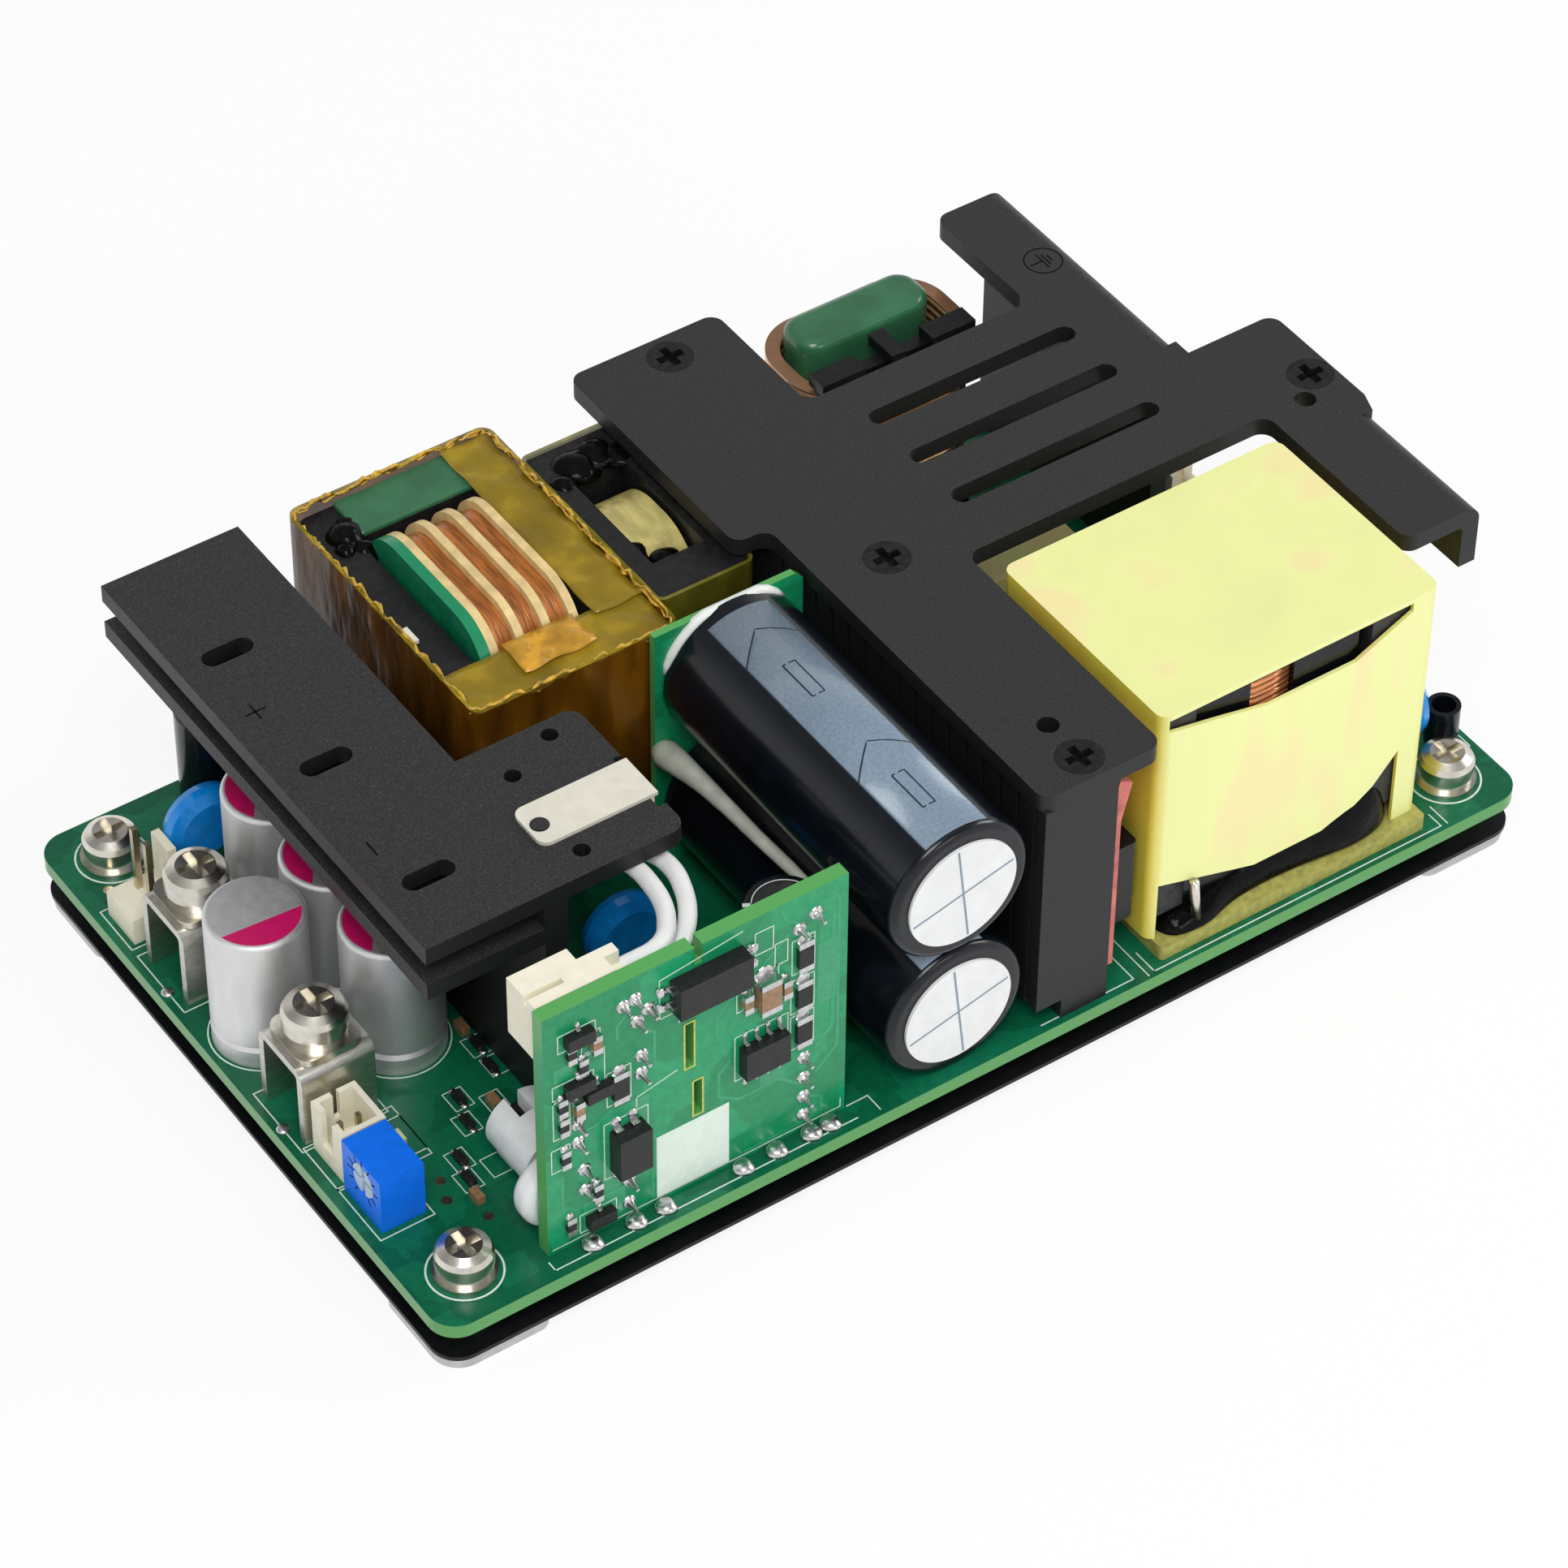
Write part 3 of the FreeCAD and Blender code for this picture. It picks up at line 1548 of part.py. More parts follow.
def spring_clip():
    """A flat strip that lies on the tab and hooks over its edge."""
    top = f"({DECK} + output_top)"
    body = plate(
        "spring_clip",
        [
            ("clip_left", "clip_near", "clip_round"),
            ("tab_right", "clip_near"),
            ("tab_right", "clip_far"),
            ("clip_left", "clip_far", "clip_round"),
        ],
        top,
        "clip_thickness",
    )
    drop = sketch_on(body, "XY_Plane", "spring_clip_drop", f"{top} + clip_thickness - clip_drop")
    hook_left = "tab_right - tab_notch_depth + clip_gap"
    add_outline(drop, rectangle(hook_left, "clip_near", f"{hook_left} + clip_thickness", "clip_far"))
    pad(body, drop, "clip_drop - clip_thickness / 2")
    hole = sketch_on(body, "XY_Plane", "spring_clip_hole", top)
    add_circle(hole, "clip_hole_x", "clip_hole_y", "clip_hole_radius")
    pocket(body, hole, "clip_thickness", towards_normal=True)
    keep(body)


def control_board():
    body = new_body("control_board")
    sketch = sketch_on(body, "XZ_Plane", "control_board_outline", "-(control_near + control_thickness)")
    high = f"{DECK} + control_top"
    add_outline(
        sketch,
        [
            ("control_left", DECK),
            ("control_right", DECK),
            ("control_right", high),
            ("control_notch_right", high),
            ("control_notch_right", f"{high} - control_notch_depth"),
            ("control_notch_left", f"{high} - control_notch_depth"),
            ("control_notch_left", high),
            ("control_left", high),
        ],
    )
    half = "control_slot_width / 2"
    pad(body, sketch, "control_thickness")
    slots = sketch_on(body, "XZ_Plane", "control_board_slots", "-(control_near + control_thickness)")
    second = "control_slot_x + control_slot_shift"
    add_outline(
        slots,
        rectangle(
            f"control_slot_x - {half}",
            f"{DECK} + control_slot_low",
            f"control_slot_x + {half}",
            f"{DECK} + control_slot_high",
            "control_slot_width / 3",
        ),
    )
    add_outline(
        slots,
        rectangle(
            f"{second} - {half}",
            f"{DECK} + second_slot_low",
            f"{second} + {half}",
            f"{DECK} + second_slot_high",
            "control_slot_width / 3",
        ),
    )
    pocket(body, slots, "control_thickness", towards_normal=True)
    keep(body)


def chip_on_control(name, left, low, length, height, depth):
    return box(name, (left, f"control_near - ({depth})", f"{DECK} + {low}"), (length, depth, height))


# Where the small parts stand on the control board: left edge, and height above the main board.
RESISTOR_SPOTS = ((-48.1, 25.0), (-46.9, 22.6), (-49.2, 18.6), (-49.1, 16.0), (-49.0, 11.6), (-45.6, 5.0))
RESISTOR_SPOTS += ((-48.6, 2.2),)
WIDE_RESISTOR_SPOTS = ((-23.0, 22.2), (-23.1, 17.0), (-23.1, 12.2), (-43.3, 16.8))
CERAMIC_SPOTS = ((-24.9, 20.2), (-29.2, 20.7), (-45.6, 25.2), (-47.6, 17.6))
LARGE_CERAMIC_SPOTS = ((-27.7, 19.9),)
TINY_CASE_SPOTS = ((-48.3, 26.9), (-48.4, 20.6), (-46.4, 18.8), (-46.4, 1.6))
# Left and near corner of each small part on the main board.
BOARD_RESISTORS = ((-47.3, -14.8), (-48.3, -17.9), (-51.3, -21.4), (-52.0, -24.0), (-42.1, -9.9))
BOARD_RESISTORS += ((-42.6, -13.0),)
BOARD_CERAMICS = ((-44.9, -17.2), (-52.6, -26.4), (-42.3, -7.4))


def control_board_packages():
    """The moulded parts on the control board's near face."""
    packages = []
    for name in ("long_chip", "controller", "small_bridge"):
        packages.append(
            chip_on_control(
                f"control_{name}",
                name + "_left",
                name + "_low",
                name + "_length",
                name + "_height",
                name + "_depth",
            )
        )
    case = chip_on_control(
        "tiny_case", "0", "0", "tiny_case_length", "tiny_case_width", "tiny_case_height"
    )
    packages.append(copies("control_tiny_cases", case, [(str(x), "0", str(z)) for x, z in TINY_CASE_SPOTS]))
    keep(group("control_board_packages", *packages))


def small_chips():
    """Chip resistors and chip capacitors, on the control board and flat on the main board."""
    for kind, thickness, upright, flat, size, size_thickness, size_spots in (
        (
            "resistors", "chip_height", RESISTOR_SPOTS, BOARD_RESISTORS,
            "wide_chip", "chip_height", WIDE_RESISTOR_SPOTS,
        ),
        (
            "capacitors", "chip_width", CERAMIC_SPOTS, BOARD_CERAMICS,
            "large_chip", "large_chip_height", LARGE_CERAMIC_SPOTS,
        ),
    ):
        standing = chip_on_control(f"standing_{kind}", "0", "0", "chip_width", "chip_length", thickness)
        bigger = chip_on_control(
            f"bigger_{kind}", "0", "0", size + "_width", size + "_length", size_thickness
        )
        lying = box(f"lying_{kind}", ("0", "0", DECK), ("chip_width", "chip_length", thickness))
        keep(
            group(
                f"chip_{kind}",
                copies(f"control_{kind}", standing, [(str(x), "0", str(z)) for x, z in upright]),
                copies(f"control_{size}_{kind}", bigger, [(str(x), "0", str(z)) for x, z in size_spots]),
                copies(f"board_{kind}", lying, [(str(x), str(y), "0") for x, y in flat]),
            )
        )


def output_capacitors():
    body = new_body("output_can")
    sketch = sketch_on(body, "XZ_Plane", "output_can_section")
    groove_in = "capacitor_radius - capacitor_groove_depth"
    groove_high = "capacitor_groove_low + capacitor_groove_height"
    add_outline(
        sketch,
        [
            ("0", "0"),
            ("capacitor_radius", "0"),
            ("capacitor_radius", "capacitor_groove_low"),
            (groove_in, "(capacitor_groove_low + capacitor_groove_low + capacitor_groove_height) / 2"),
            ("capacitor_radius", groove_high),
            ("capacitor_radius", "capacitor_height", "capacitor_edge"),
            ("0", "capacitor_height"),
        ],
    )
    turn(body, sketch)
    places = [("capacitor_front_x", "capacitor_front_y", DECK)]
    for index in range(3):
        places.append(("capacitor_row_x", f"capacitor_row_y + {index} * capacitor_row_pitch", DECK))
    keep(copies("output_capacitors", body, places))


def standing_cans():
    for name in ("blue_can", "black_can"):
        body = new_body(f"standing_{name}")
        sketch = sketch_on(body, "XZ_Plane", name + "_section")
        add_outline(
            sketch,
            [
                ("0", "0"),
                (name + "_radius", "0"),
                (name + "_radius", name + "_height", "capacitor_edge"),
                ("0", name + "_height"),
            ],
        )
        turn(body, sketch)
        place(body, name + "_x", name + "_y", DECK)
        keep(body)


def terminal_places(z):
    return [("terminal_x", f"terminal_y - {index} * terminal_pitch", z) for index in range(2)]


def terminals():
    """Two folded brackets, each with a screw, a spring washer and a square washer."""
    bracket = new_body("terminal_bracket")
    sketch = sketch_on(bracket, "YZ_Plane", "terminal_section", "-terminal_length / 2")
    half = "terminal_width / 2"
    inner = f"({half} - terminal_sheet)"
    under = "terminal_height - terminal_sheet"
    inner_bend = "(terminal_bend - terminal_sheet)"
    add_outline(
        sketch,
        [
            (f"-{half}", "0"),
            (f"-{inner}", "0"),
            (f"-{inner}", under, inner_bend),
            (inner, under, inner_bend),
            (inner, "0"),
            (half, "0"),
            (half, "terminal_height", "terminal_bend"),
            (f"-{half}", "terminal_height", "terminal_bend"),
        ],
    )
    pad(bracket, sketch, "terminal_length")
    hole = sketch_on(bracket, "XY_Plane", "terminal_hole", "terminal_height")
    add_circle(hole, "0", "0", "terminal_hole_radius")
    pocket(bracket, hole, "terminal_sheet")
    keep(copies("terminal_brackets", bracket, terminal_places(DECK)))
    seat = f"{DECK} + terminal_height"
    washer = plate(
        "terminal_washer",
        rectangle(
            "-square_washer_side / 2",
            "-square_washer_side / 2",
            "square_washer_side / 2",
            "square_washer_side / 2",
            "square_washer_round",
        ),
        "0",
        "square_washer_thickness",
    )
    washer_hole = sketch_on(washer, "XY_Plane", "terminal_washer_hole")
    add_circle(washer_hole, "0", "0", "terminal_hole_radius")
    pocket(washer, washer_hole, "square_washer_thickness", towards_normal=True)
    squares = copies("terminal_square_washers", washer, terminal_places(seat))
    split = spring_washer(
        "terminal_split_washer",
        "terminal_spring_radius",
        "terminal_hole_radius",
        "terminal_spring_thickness",
    )
    seat = f"{seat} + square_washer_thickness"
    splits = copies("terminal_spring_washers", split, terminal_places(seat))
    keep(group("terminal_washers", squares, splits))
    screw = pan_screw(
        "terminal_screw",
        "terminal_head_radius",
        "terminal_head_height",
        "terminal_shank_radius",
        "terminal_shank_length",
    )
    seat = f"{seat} + terminal_spring_thickness"
    keep(copies("terminal_screws", screw, terminal_places(seat)))


def locking_header():
    """A two-way header with a tall locking wall behind its pins."""
    base = box(
        "lock_header_base",
        ("lock_header_left", "lock_header_near", DECK),
        ("lock_header_depth", "lock_header_length", "lock_header_height"),
    )
    wall = box(
        "lock_header_wall",
        (
            "lock_header_left + lock_header_depth - lock_wall_thickness",
            "lock_header_near + lock_wall_inset",
            DECK,
        ),
        ("lock_wall_thickness", "lock_header_length - 2 * lock_wall_inset", "lock_wall_top"),
    )
    side = "lock_pin_width"
    room = []
    pins = []
    for index in range(2):
        x = f"lock_header_left + lock_pin_setback - {side} / 2"
        y = f"lock_header_near + lock_header_length * ({index} + 0.5) / 2 - {side} / 2"
        room.append(box(f"lock_pin_room_{index}", (x, y, DECK), (side, side, "lock_header_height")))
        pins.append(box(f"lock_pin_{index}", (x, y, DECK), (side, side, "lock_pin_top")))
    housing = fuse("lock_header_blank", base, wall)
    keep(cut("locking_header", housing, *room))
    return pins


def shrouded_header():
    """A small two-way header whose walls stand round the pins, with a slot in the far wall."""
    outside = box(
        "shroud_outside",
        ("shroud_left", "shroud_near", DECK),
        ("shroud_depth", "shroud_length", "shroud_height"),
    )
    inside = box(
        "shroud_inside",
        ("shroud_left + shroud_wall", "shroud_near + shroud_wall", f"{DECK} + shroud_floor"),
        (
            "shroud_depth - 2 * shroud_wall",
            "shroud_length - 2 * shroud_wall",
            "shroud_height - shroud_floor",
        ),
    )
    slot = box(
        "shroud_far_slot",
        (
            "shroud_left + shroud_depth / 2 - shroud_slot / 2",
            "shroud_near + shroud_length - shroud_wall",
            f"{DECK} + shroud_height - shroud_slot_depth",
        ),
        ("shroud_slot", "shroud_wall", "shroud_slot_depth"),
    )
    end_slot = box(
        "shroud_end_slot",
        (
            "shroud_left",
            "shroud_near + shroud_length / 2 - shroud_end_slot / 2",
            f"{DECK} + shroud_height - shroud_end_slot_depth",
        ),
        ("shroud_wall", "shroud_end_slot", "shroud_end_slot_depth"),
    )
    side = "shroud_pin_width"
    room = []
    pins = []
    for index in (-0.5, 0.5):
        x = f"shroud_left + shroud_depth / 2 + {index} * shroud_pin_pitch - {side} / 2"
        y = f"shroud_near + shroud_length / 2 - {side} / 2"
        tag = "left" if index < 0 else "right"
        room.append(box(f"shroud_pin_room_{tag}", (x, y, DECK), (side, side, "shroud_floor")))
        pins.append(box(f"shroud_pin_{tag}", (x, y, DECK), (side, side, "shroud_pin_top")))
    keep(cut("shrouded_header", outside, inside, slot, end_slot, *room))
    return pins


def trimmer():
    """A square blue trimmer, its cross-slotted rotor in a round well on the end face."""
    low = f"({DECK} + trimmer_rotor_height)"
    case = box(
        "trimmer_case",
        ("trimmer_left", "trimmer_near", DECK),
        ("trimmer_depth", "trimmer_length", "trimmer_height"),
    )
    well = cylinder(
        "trimmer_well",
        ("trimmer_left", "trimmer_rotor_y", low),
        "trimmer_well_radius",
        "trimmer_well_depth",
        along="X",
    )
    keep(cut("trimmer_body", case, well))
    reach = "(trimmer_well_radius - rotor_clearance)"
    disc = cylinder(
        "rotor_disc",
        ("trimmer_left + rotor_clearance", "trimmer_rotor_y", low),
        reach,
        "trimmer_well_depth - 2 * rotor_clearance",
        along="X",
    )
    slots = []
    for tag, width, height in (
        ("level", "2 * trimmer_well_radius", "rotor_slot"),
        ("upright", "rotor_slot", "2 * trimmer_well_radius"),
    ):
        slots.append(
            box(
                f"rotor_slot_{tag}",
                ("trimmer_left", f"trimmer_rotor_y - {width} / 2", f"{low} - {height} / 2"),
                ("rotor_slot_depth + rotor_clearance", width, height),
            )
        )
    keep(cut("trimmer_rotor", disc, *slots))


def status_lamp():
    lamp = box(
        "status_lamp",
        ("lamp_x - chip_width / 2", "lamp_y", DECK),
        ("chip_width", "chip_length", "chip_width"),
    )
    keep(lamp)


def disc_capacitor(name, across_x):
    """A fat round disc on two leads."""
    radius = "disc_radius"
    body = new_body(name)
    sketch = sketch_on(body, "XZ_Plane", name + "_section")
    half = "disc_thickness / 2"
    add_outline(
        sketch,
        [
            ("0", f"-{half}"),
            (f"{radius} * disc_flat_share", f"-{half}"),
            (f"{radius} * disc_edge_share", f"-{half} / 2"),
            (radius, "0"),
            (f"{radius} * disc_edge_share", f"{half} / 2"),
            (f"{radius} * disc_flat_share", half),
            ("0", half),
        ],
    )
    turn(body, sketch)
    body.Placement = FreeCAD.Placement(FreeCAD.Vector(), TURNS["X" if across_x else "Y"])
    x = name + "_x"
    y = name + "_y"
    z = f"{DECK} + disc_stand + {radius}"
    place(body, x, y, z)
    leads = []
    for side in (-0.5, 0.5):
        shift = f" + {side} * disc_lead_pitch"
        spot = (x, y + shift, DECK) if across_x else (x + shift, y, DECK)
        tag = "first" if side < 0 else "second"
        leads.append(
            cylinder(
                f"{name}_{tag}_lead",
                spot,
                "disc_lead_radius",
                f"disc_stand + {radius} * disc_lead_share",
            )
        )
    return fuse(name + "_capacitor", body, *leads)


def disc_capacitors():
    keep(group("disc_capacitors", *(disc_capacitor(name, name == "third_disc") for name in DISCS)))


DISCS = ("first_disc", "second_disc", "third_disc")


def lead_sleeve():
    foot = ("sleeve_x", "sleeve_y", DECK)
    keep(ring("lead_sleeve", foot, "sleeve_radius", "sleeve_bore", "sleeve_height"))


def sleeved_coils():
    """Two white sleeved coils behind the control board: a squat round one, and a slotted longer one."""
    names = ("near", "far")
    shapes = []
    rods = []
    for name, x, radius, near, length in (
        (names[0], "coil_x", "coil_radius", "coil_near", "coil_length"),
        (names[1], "far_coil_x", "far_coil_radius", "far_coil_near", "far_coil_length"),
    ):
        z = f"{DECK} + coil_lift + {radius}"
        start = f"{near} + coil_core_overhang"
        rod = cylinder(
            f"{name}_coil_rod",
            (x, near, z),
            "coil_core_radius",
            f"{length} + 2 * coil_core_overhang",
            along="Y",
        )
        bore = cylinder(f"{name}_coil_bore", (x, start, z), "coil_core_radius", length, along="Y")
        if name == names[0]:
            shell = new_body("near_coil_sleeve")
            section = sketch_on(shell, "XY_Plane", "near_coil_section")
            add_outline(
                section,
                [
                    ("0", "0"),
                    (radius, "0", "coil_round"),
                    (radius, length, "coil_round"),
                    ("0", length),
                ],
            )
            turn(shell, section)
            place(shell, x, start, z)
        else:
            shell = cylinder("far_coil_sleeve", (x, start, z), radius, length, along="Y")
            bore = fuse(
                "far_coil_openings",
                bore,
                box(
                    "far_coil_slot",
                    (
                        f"{x} - coil_slot_width",
                        f"{start} + {length} - coil_slot_length",
                        z,
                    ),
                    ("coil_slot_width", "coil_slot_length", radius),
                ),
            )
        shapes.append(cut(f"{name}_coil_bored", shell, bore))
        rods.append(rod)
    keep(group("sleeved_coils", *shapes))
    keep(group("coil_cores", *rods))


def filter_choke():
    """A coated core frame with a flat copper coil round it and a black bobbin in front."""
    body = plate(
        "filter_core",
        rectangle("filter_left", "filter_near", "filter_right", "filter_far", "filter_round"),
        DECK,
        "filter_top",
    )
    window = sketch_on(body, "XZ_Plane", "filter_core_window", "-filter_far")
    add_outline(
        window,
        rectangle(
            "filter_window_left",
            f"{DECK} + filter_window_low",
            "filter_window_right",
            f"{DECK} + filter_window_high",
        ),
    )
    pocket(body, window, "filter_far - filter_near", towards_normal=True)
    crown = number(f"{DECK} + filter_top")
    soften(body, "filter_core_crown", "filter_top_round", lambda edge: edge.BoundBox.ZMin > crown - 0.01)
    keep(body)
    middle_x = "((filter_left + filter_right) / 2)"
    clear = "filter_coil_gap"
    coil_far = f"(filter_far + {clear} / 2 + filter_coil_wall)"
    coil_near = f"({coil_far} - 2 * filter_coil_half_width)"
    low = f"{DECK} + filter_coil_low"
    coil = plate(
        "filter_coil",
        rectangle(
            f"{middle_x} - filter_coil_reach",
            coil_near,
            f"{middle_x} + filter_coil_reach",
            coil_far,
            "filter_coil_round",
        ),
        low,
        "filter_coil_high - filter_coil_low",
    )
    hollow = sketch_on(coil, "XY_Plane", "filter_coil_hollow", low)
    inner = "(filter_coil_reach - filter_coil_wall)"
    add_outline(
        hollow,
        rectangle(
            f"{middle_x} - {inner}",
            f"{coil_near} + filter_coil_wall",
            f"{middle_x} + {inner}",
            f"{coil_far} - filter_coil_wall",
            "(filter_coil_round - filter_coil_wall)",
        ),
    )
    pocket(coil, hollow, "filter_coil_high - filter_coil_low", towards_normal=True)
    keep(coil)
    wall_near = f"({coil_near} + filter_coil_wall + {clear})"
    depth = f"({wall_near} + filter_bobbin_wall - filter_bobbin_near)"
    left = f"{middle_x} - filter_bobbin_half_length"
    right = f"{middle_x} + filter_bobbin_half_length"
    upper = f"{DECK} + filter_coil_high + {clear}"
    height = f"filter_bobbin_top - filter_coil_high - {clear}"
    foot = box(
        "filter_bobbin_foot",
        (left, "filter_bobbin_near", DECK),
        ("2 * filter_bobbin_half_length", depth, f"filter_coil_low - {clear}"),
    )
    wall = box(
        "filter_bobbin_post",
        (f"{middle_x} - filter_bobbin_wall_half", wall_near, DECK),
        ("2 * filter_bobbin_wall_half", "filter_bobbin_wall", f"filter_coil_high + {clear}"),
    )
    left_block = box(
        "filter_left_block",
        (left, "filter_bobbin_near", upper),
        ("filter_block_length", depth, height),
    )
    right_block = box(
        "filter_right_block",
        (f"{right} - filter_block_length", "filter_bobbin_near", upper),
        ("filter_block_length", depth, height),
    )
    rib = box(
        "filter_rib",
        (f"{middle_x} - filter_rib_half", "filter_bobbin_near", upper),
        ("2 * filter_rib_half", "filter_rib_far - filter_bobbin_near", height),
    )
    keep(fuse("filter_bobbin", foot, wall, left_block, right_block, rib))


def input_header():
    """A header for the supply leads, with its middle way left empty."""
    base = box(
        "input_header_base",
        ("input_header_left", "input_header_near", DECK),
        ("input_header_depth", "input_header_length", "input_header_height"),
    )
    wall = box(
        "input_header_wall",
        ("input_header_left", "input_header_near", DECK),
        ("lock_wall_thickness", "input_header_length", "input_wall_top"),
    )
    side = "input_pin_side"
    room = []
    pins = []
    for index in (-0.5, 0.5):
        x = f"input_header_left + input_header_depth / 2 - {side} / 2"
        y = f"input_header_near + input_header_length / 2 + {index} * input_pin_pitch - {side} / 2"
        tag = "near" if index < 0 else "far"
        room.append(box(f"input_pin_room_{tag}", (x, y, DECK), (side, side, "input_header_height")))
        pins.append(box(f"input_pin_{tag}", (x, y, DECK), (side, side, "input_pin_top")))
    keep(cut("input_header", fuse("input_header_blank", base, wall), *room))
    return pins


def input_parts():
    """A round fuse on two legs and a box capacitor."""
    fuse_body = cylinder(
        "fuse_tube",
        ("fuse_x", "fuse_y", f"{DECK} + fuse_height"),
        "fuse_radius",
        "fuse_length",
        along="Y",
    )
    near_leg = cylinder(
        "fuse_near_leg",
        ("fuse_x", "fuse_y + fuse_leg_inset", DECK),
        "disc_lead_radius",
        "fuse_height",
    )
    far_leg = cylinder(
        "fuse_far_leg",
        ("fuse_x", "fuse_y + fuse_length - fuse_leg_inset", DECK),
        "disc_lead_radius",
        "fuse_height",
    )
    keep(fuse("fuse", fuse_body, near_leg, far_leg))
    capacitor = plate(
        "filter_capacitor",
        rectangle(
            "filter_cap_left",
            "filter_cap_near",
            "filter_cap_left + filter_cap_length",
            "filter_cap_near + filter_cap_depth",
            "filter_cap_round",
        ),
        DECK,
        "filter_cap_height",
    )
    keep(capacitor)


def lead_plug():
    """A connector on the back of the control board: a board-side socket and the plug in it."""
    back = "(control_near + control_thickness)"
    low = f"({DECK} + plug_low)"
    socket = box(
        "plug_socket_block",
        ("plug_left", back, low),
        ("plug_length", "plug_socket_depth", "plug_socket_height"),
    )
    keep(socket, "lead_socket")
    plug = box(
        "plug_block",
        ("plug_left", f"{back} + plug_socket_depth", low),
        ("plug_main_length", "plug_depth - plug_socket_depth", "plug_height"),
    )
    side = box(
        "plug_side_block",
        ("plug_left + plug_main_length", f"{back} + plug_socket_depth", low),
        ("plug_length - plug_main_length", "plug_side_depth", "plug_height"),
    )
    lip = box(
        "plug_lip",
        ("plug_left", f"{back} + plug_gap", f"{low} + plug_socket_height"),
        ("plug_length - plug_step", "plug_socket_depth", "plug_height - plug_socket_height"),
    )
    groove = box(
        "plug_groove",
        (
            "plug_left",
            f"{back} + plug_socket_depth - plug_groove_width",
            f"{low} + plug_height - plug_groove_depth",
        ),
        ("plug_groove_length", "plug_groove_width", "plug_groove_depth"),
    )
    keep(cut("lead_plug", fuse("plug_blocks", plug, side, lip), groove))


# Route points of the two white leads, height above the board: from the plug, under the
# output heatsink's tab, to the heatsink's upright face.
FIRST_LEAD = (
    (-39.8, -31.0, 28.3),
    (-34.4, -31.0, 28.3),
    (-31.0, -26.0, 27.3),
    (-30.2, -19.2, 26.8),
    (-32.6, -12.9, 25.9),
    (-38.4, -12.9, 25.9),
)
SECOND_LEAD = (
    (-39.8, -31.0, 26.1),
    (-33.0, -31.0, 26.1),
    (-28.9, -26.8, 26.2),
    (-26.9, -20.8, 26.3),
    (-29.4, -14.4, 25.6),
    (-33.0, -9.7, 25.4),
    (-38.4, -9.7, 25.4),
)


# Share of a straight run that the bend at its end takes up.
BEND_SHARE = 0.45


def lead_route(points):
    """Straight runs joined by tangent arcs as large as the runs allow."""
    deck = number(DECK)
    spots = [FreeCAD.Vector(x, y, z + deck) for x, y, z in points]
    edges = []
    start = spots[0]
    for before, corner, after in zip(spots, spots[1:], spots[2:]):
        inward = (before - corner).normalize()
        outward = (after - corner).normalize()
        turn_angle = math.pi - inward.getAngle(outward)
        shorter = min((before - corner).Length, (after - corner).Length)
        setback = BEND_SHARE * shorter
        radius = setback / math.tan(turn_angle / 2)
        first = corner + inward * setback
        last = corner + outward * setback
        bisector = (inward + outward).normalize()
        centre = corner + bisector * (radius / math.cos(turn_angle / 2))
        middle = centre - bisector * radius
        edges.append(Part.LineSegment(start, first).toShape())
        edges.append(Part.Arc(first, middle, last).toShape())
        start = last
    edges.append(Part.LineSegment(start, spots[-1]).toShape())
    return Part.Wire(edges)


def white_leads():
    """Two round leads along fixed routes."""
    radius = number("white_lead_radius")
    for name, points in (("first_white_lead", FIRST_LEAD), ("second_white_lead", SECOND_LEAD)):
        route = lead_route(points)
        begin = route.Edges[0].Vertexes[0].Point
        heading = route.Edges[0].tangentAt(route.Edges[0].FirstParameter)
        circle = Part.Wire([Part.Circle(begin, heading, radius).toShape()])
        tube = route.makePipeShell([circle], True, False)
        lead = doc.addObject("Part::Feature", name)
        lead.Shape = tube
        keep(lead)


def build():
    fill_sheet()
    base_plate()
    insulating_sheet()
    circuit_board()
    corner_fasteners()
    main_plate()
    plate_screws()
    heatsink_wall()
    plate_post()
    silicone_pad()
    power_devices()
    choke_tape()
    choke_tray()
    choke_parts()
    transformer_tape()
    transformer_core()
    transformer_stack()
    small_transformer()
    riser_board()
    storage_capacitors()
    output_heatsink()
    spring_clip()
    control_board()
    control_board_packages()
    small_chips()
    output_capacitors()
    standing_cans()
    terminals()
    keep(group("header_pins", *locking_header(), *shrouded_header(), *input_header()))
    trimmer()
    status_lamp()
    disc_capacitors()
    lead_sleeve()
    sleeved_coils()
    filter_choke()
    input_parts()
    lead_plug()
    white_leads()
    doc.recompute()


def check():
    """Stops if any object of the document failed or any piece is not a valid solid."""
    for thing in doc.Objects:
        if "Invalid" in thing.State or "Error" in thing.State:
            raise RuntimeError(f"{thing.Name} did not build: {thing.State}")
    for piece in pieces:
        shape = piece.Shape
        if shape.isNull() or not shape.isValid() or not shape.Solids:
            raise RuntimeError(f"{piece.Label} has no valid solid")


def export():
    os.makedirs("parts", exist_ok=True)
    for piece in pieces:
        piece.Shape.exportStep(os.path.join("parts", piece.Label + ".step"))
    print(f"{len(pieces)} pieces")


build()
check()
export()
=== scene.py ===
import json
import math
import random

import bpy
from mathutils import Matrix, Vector


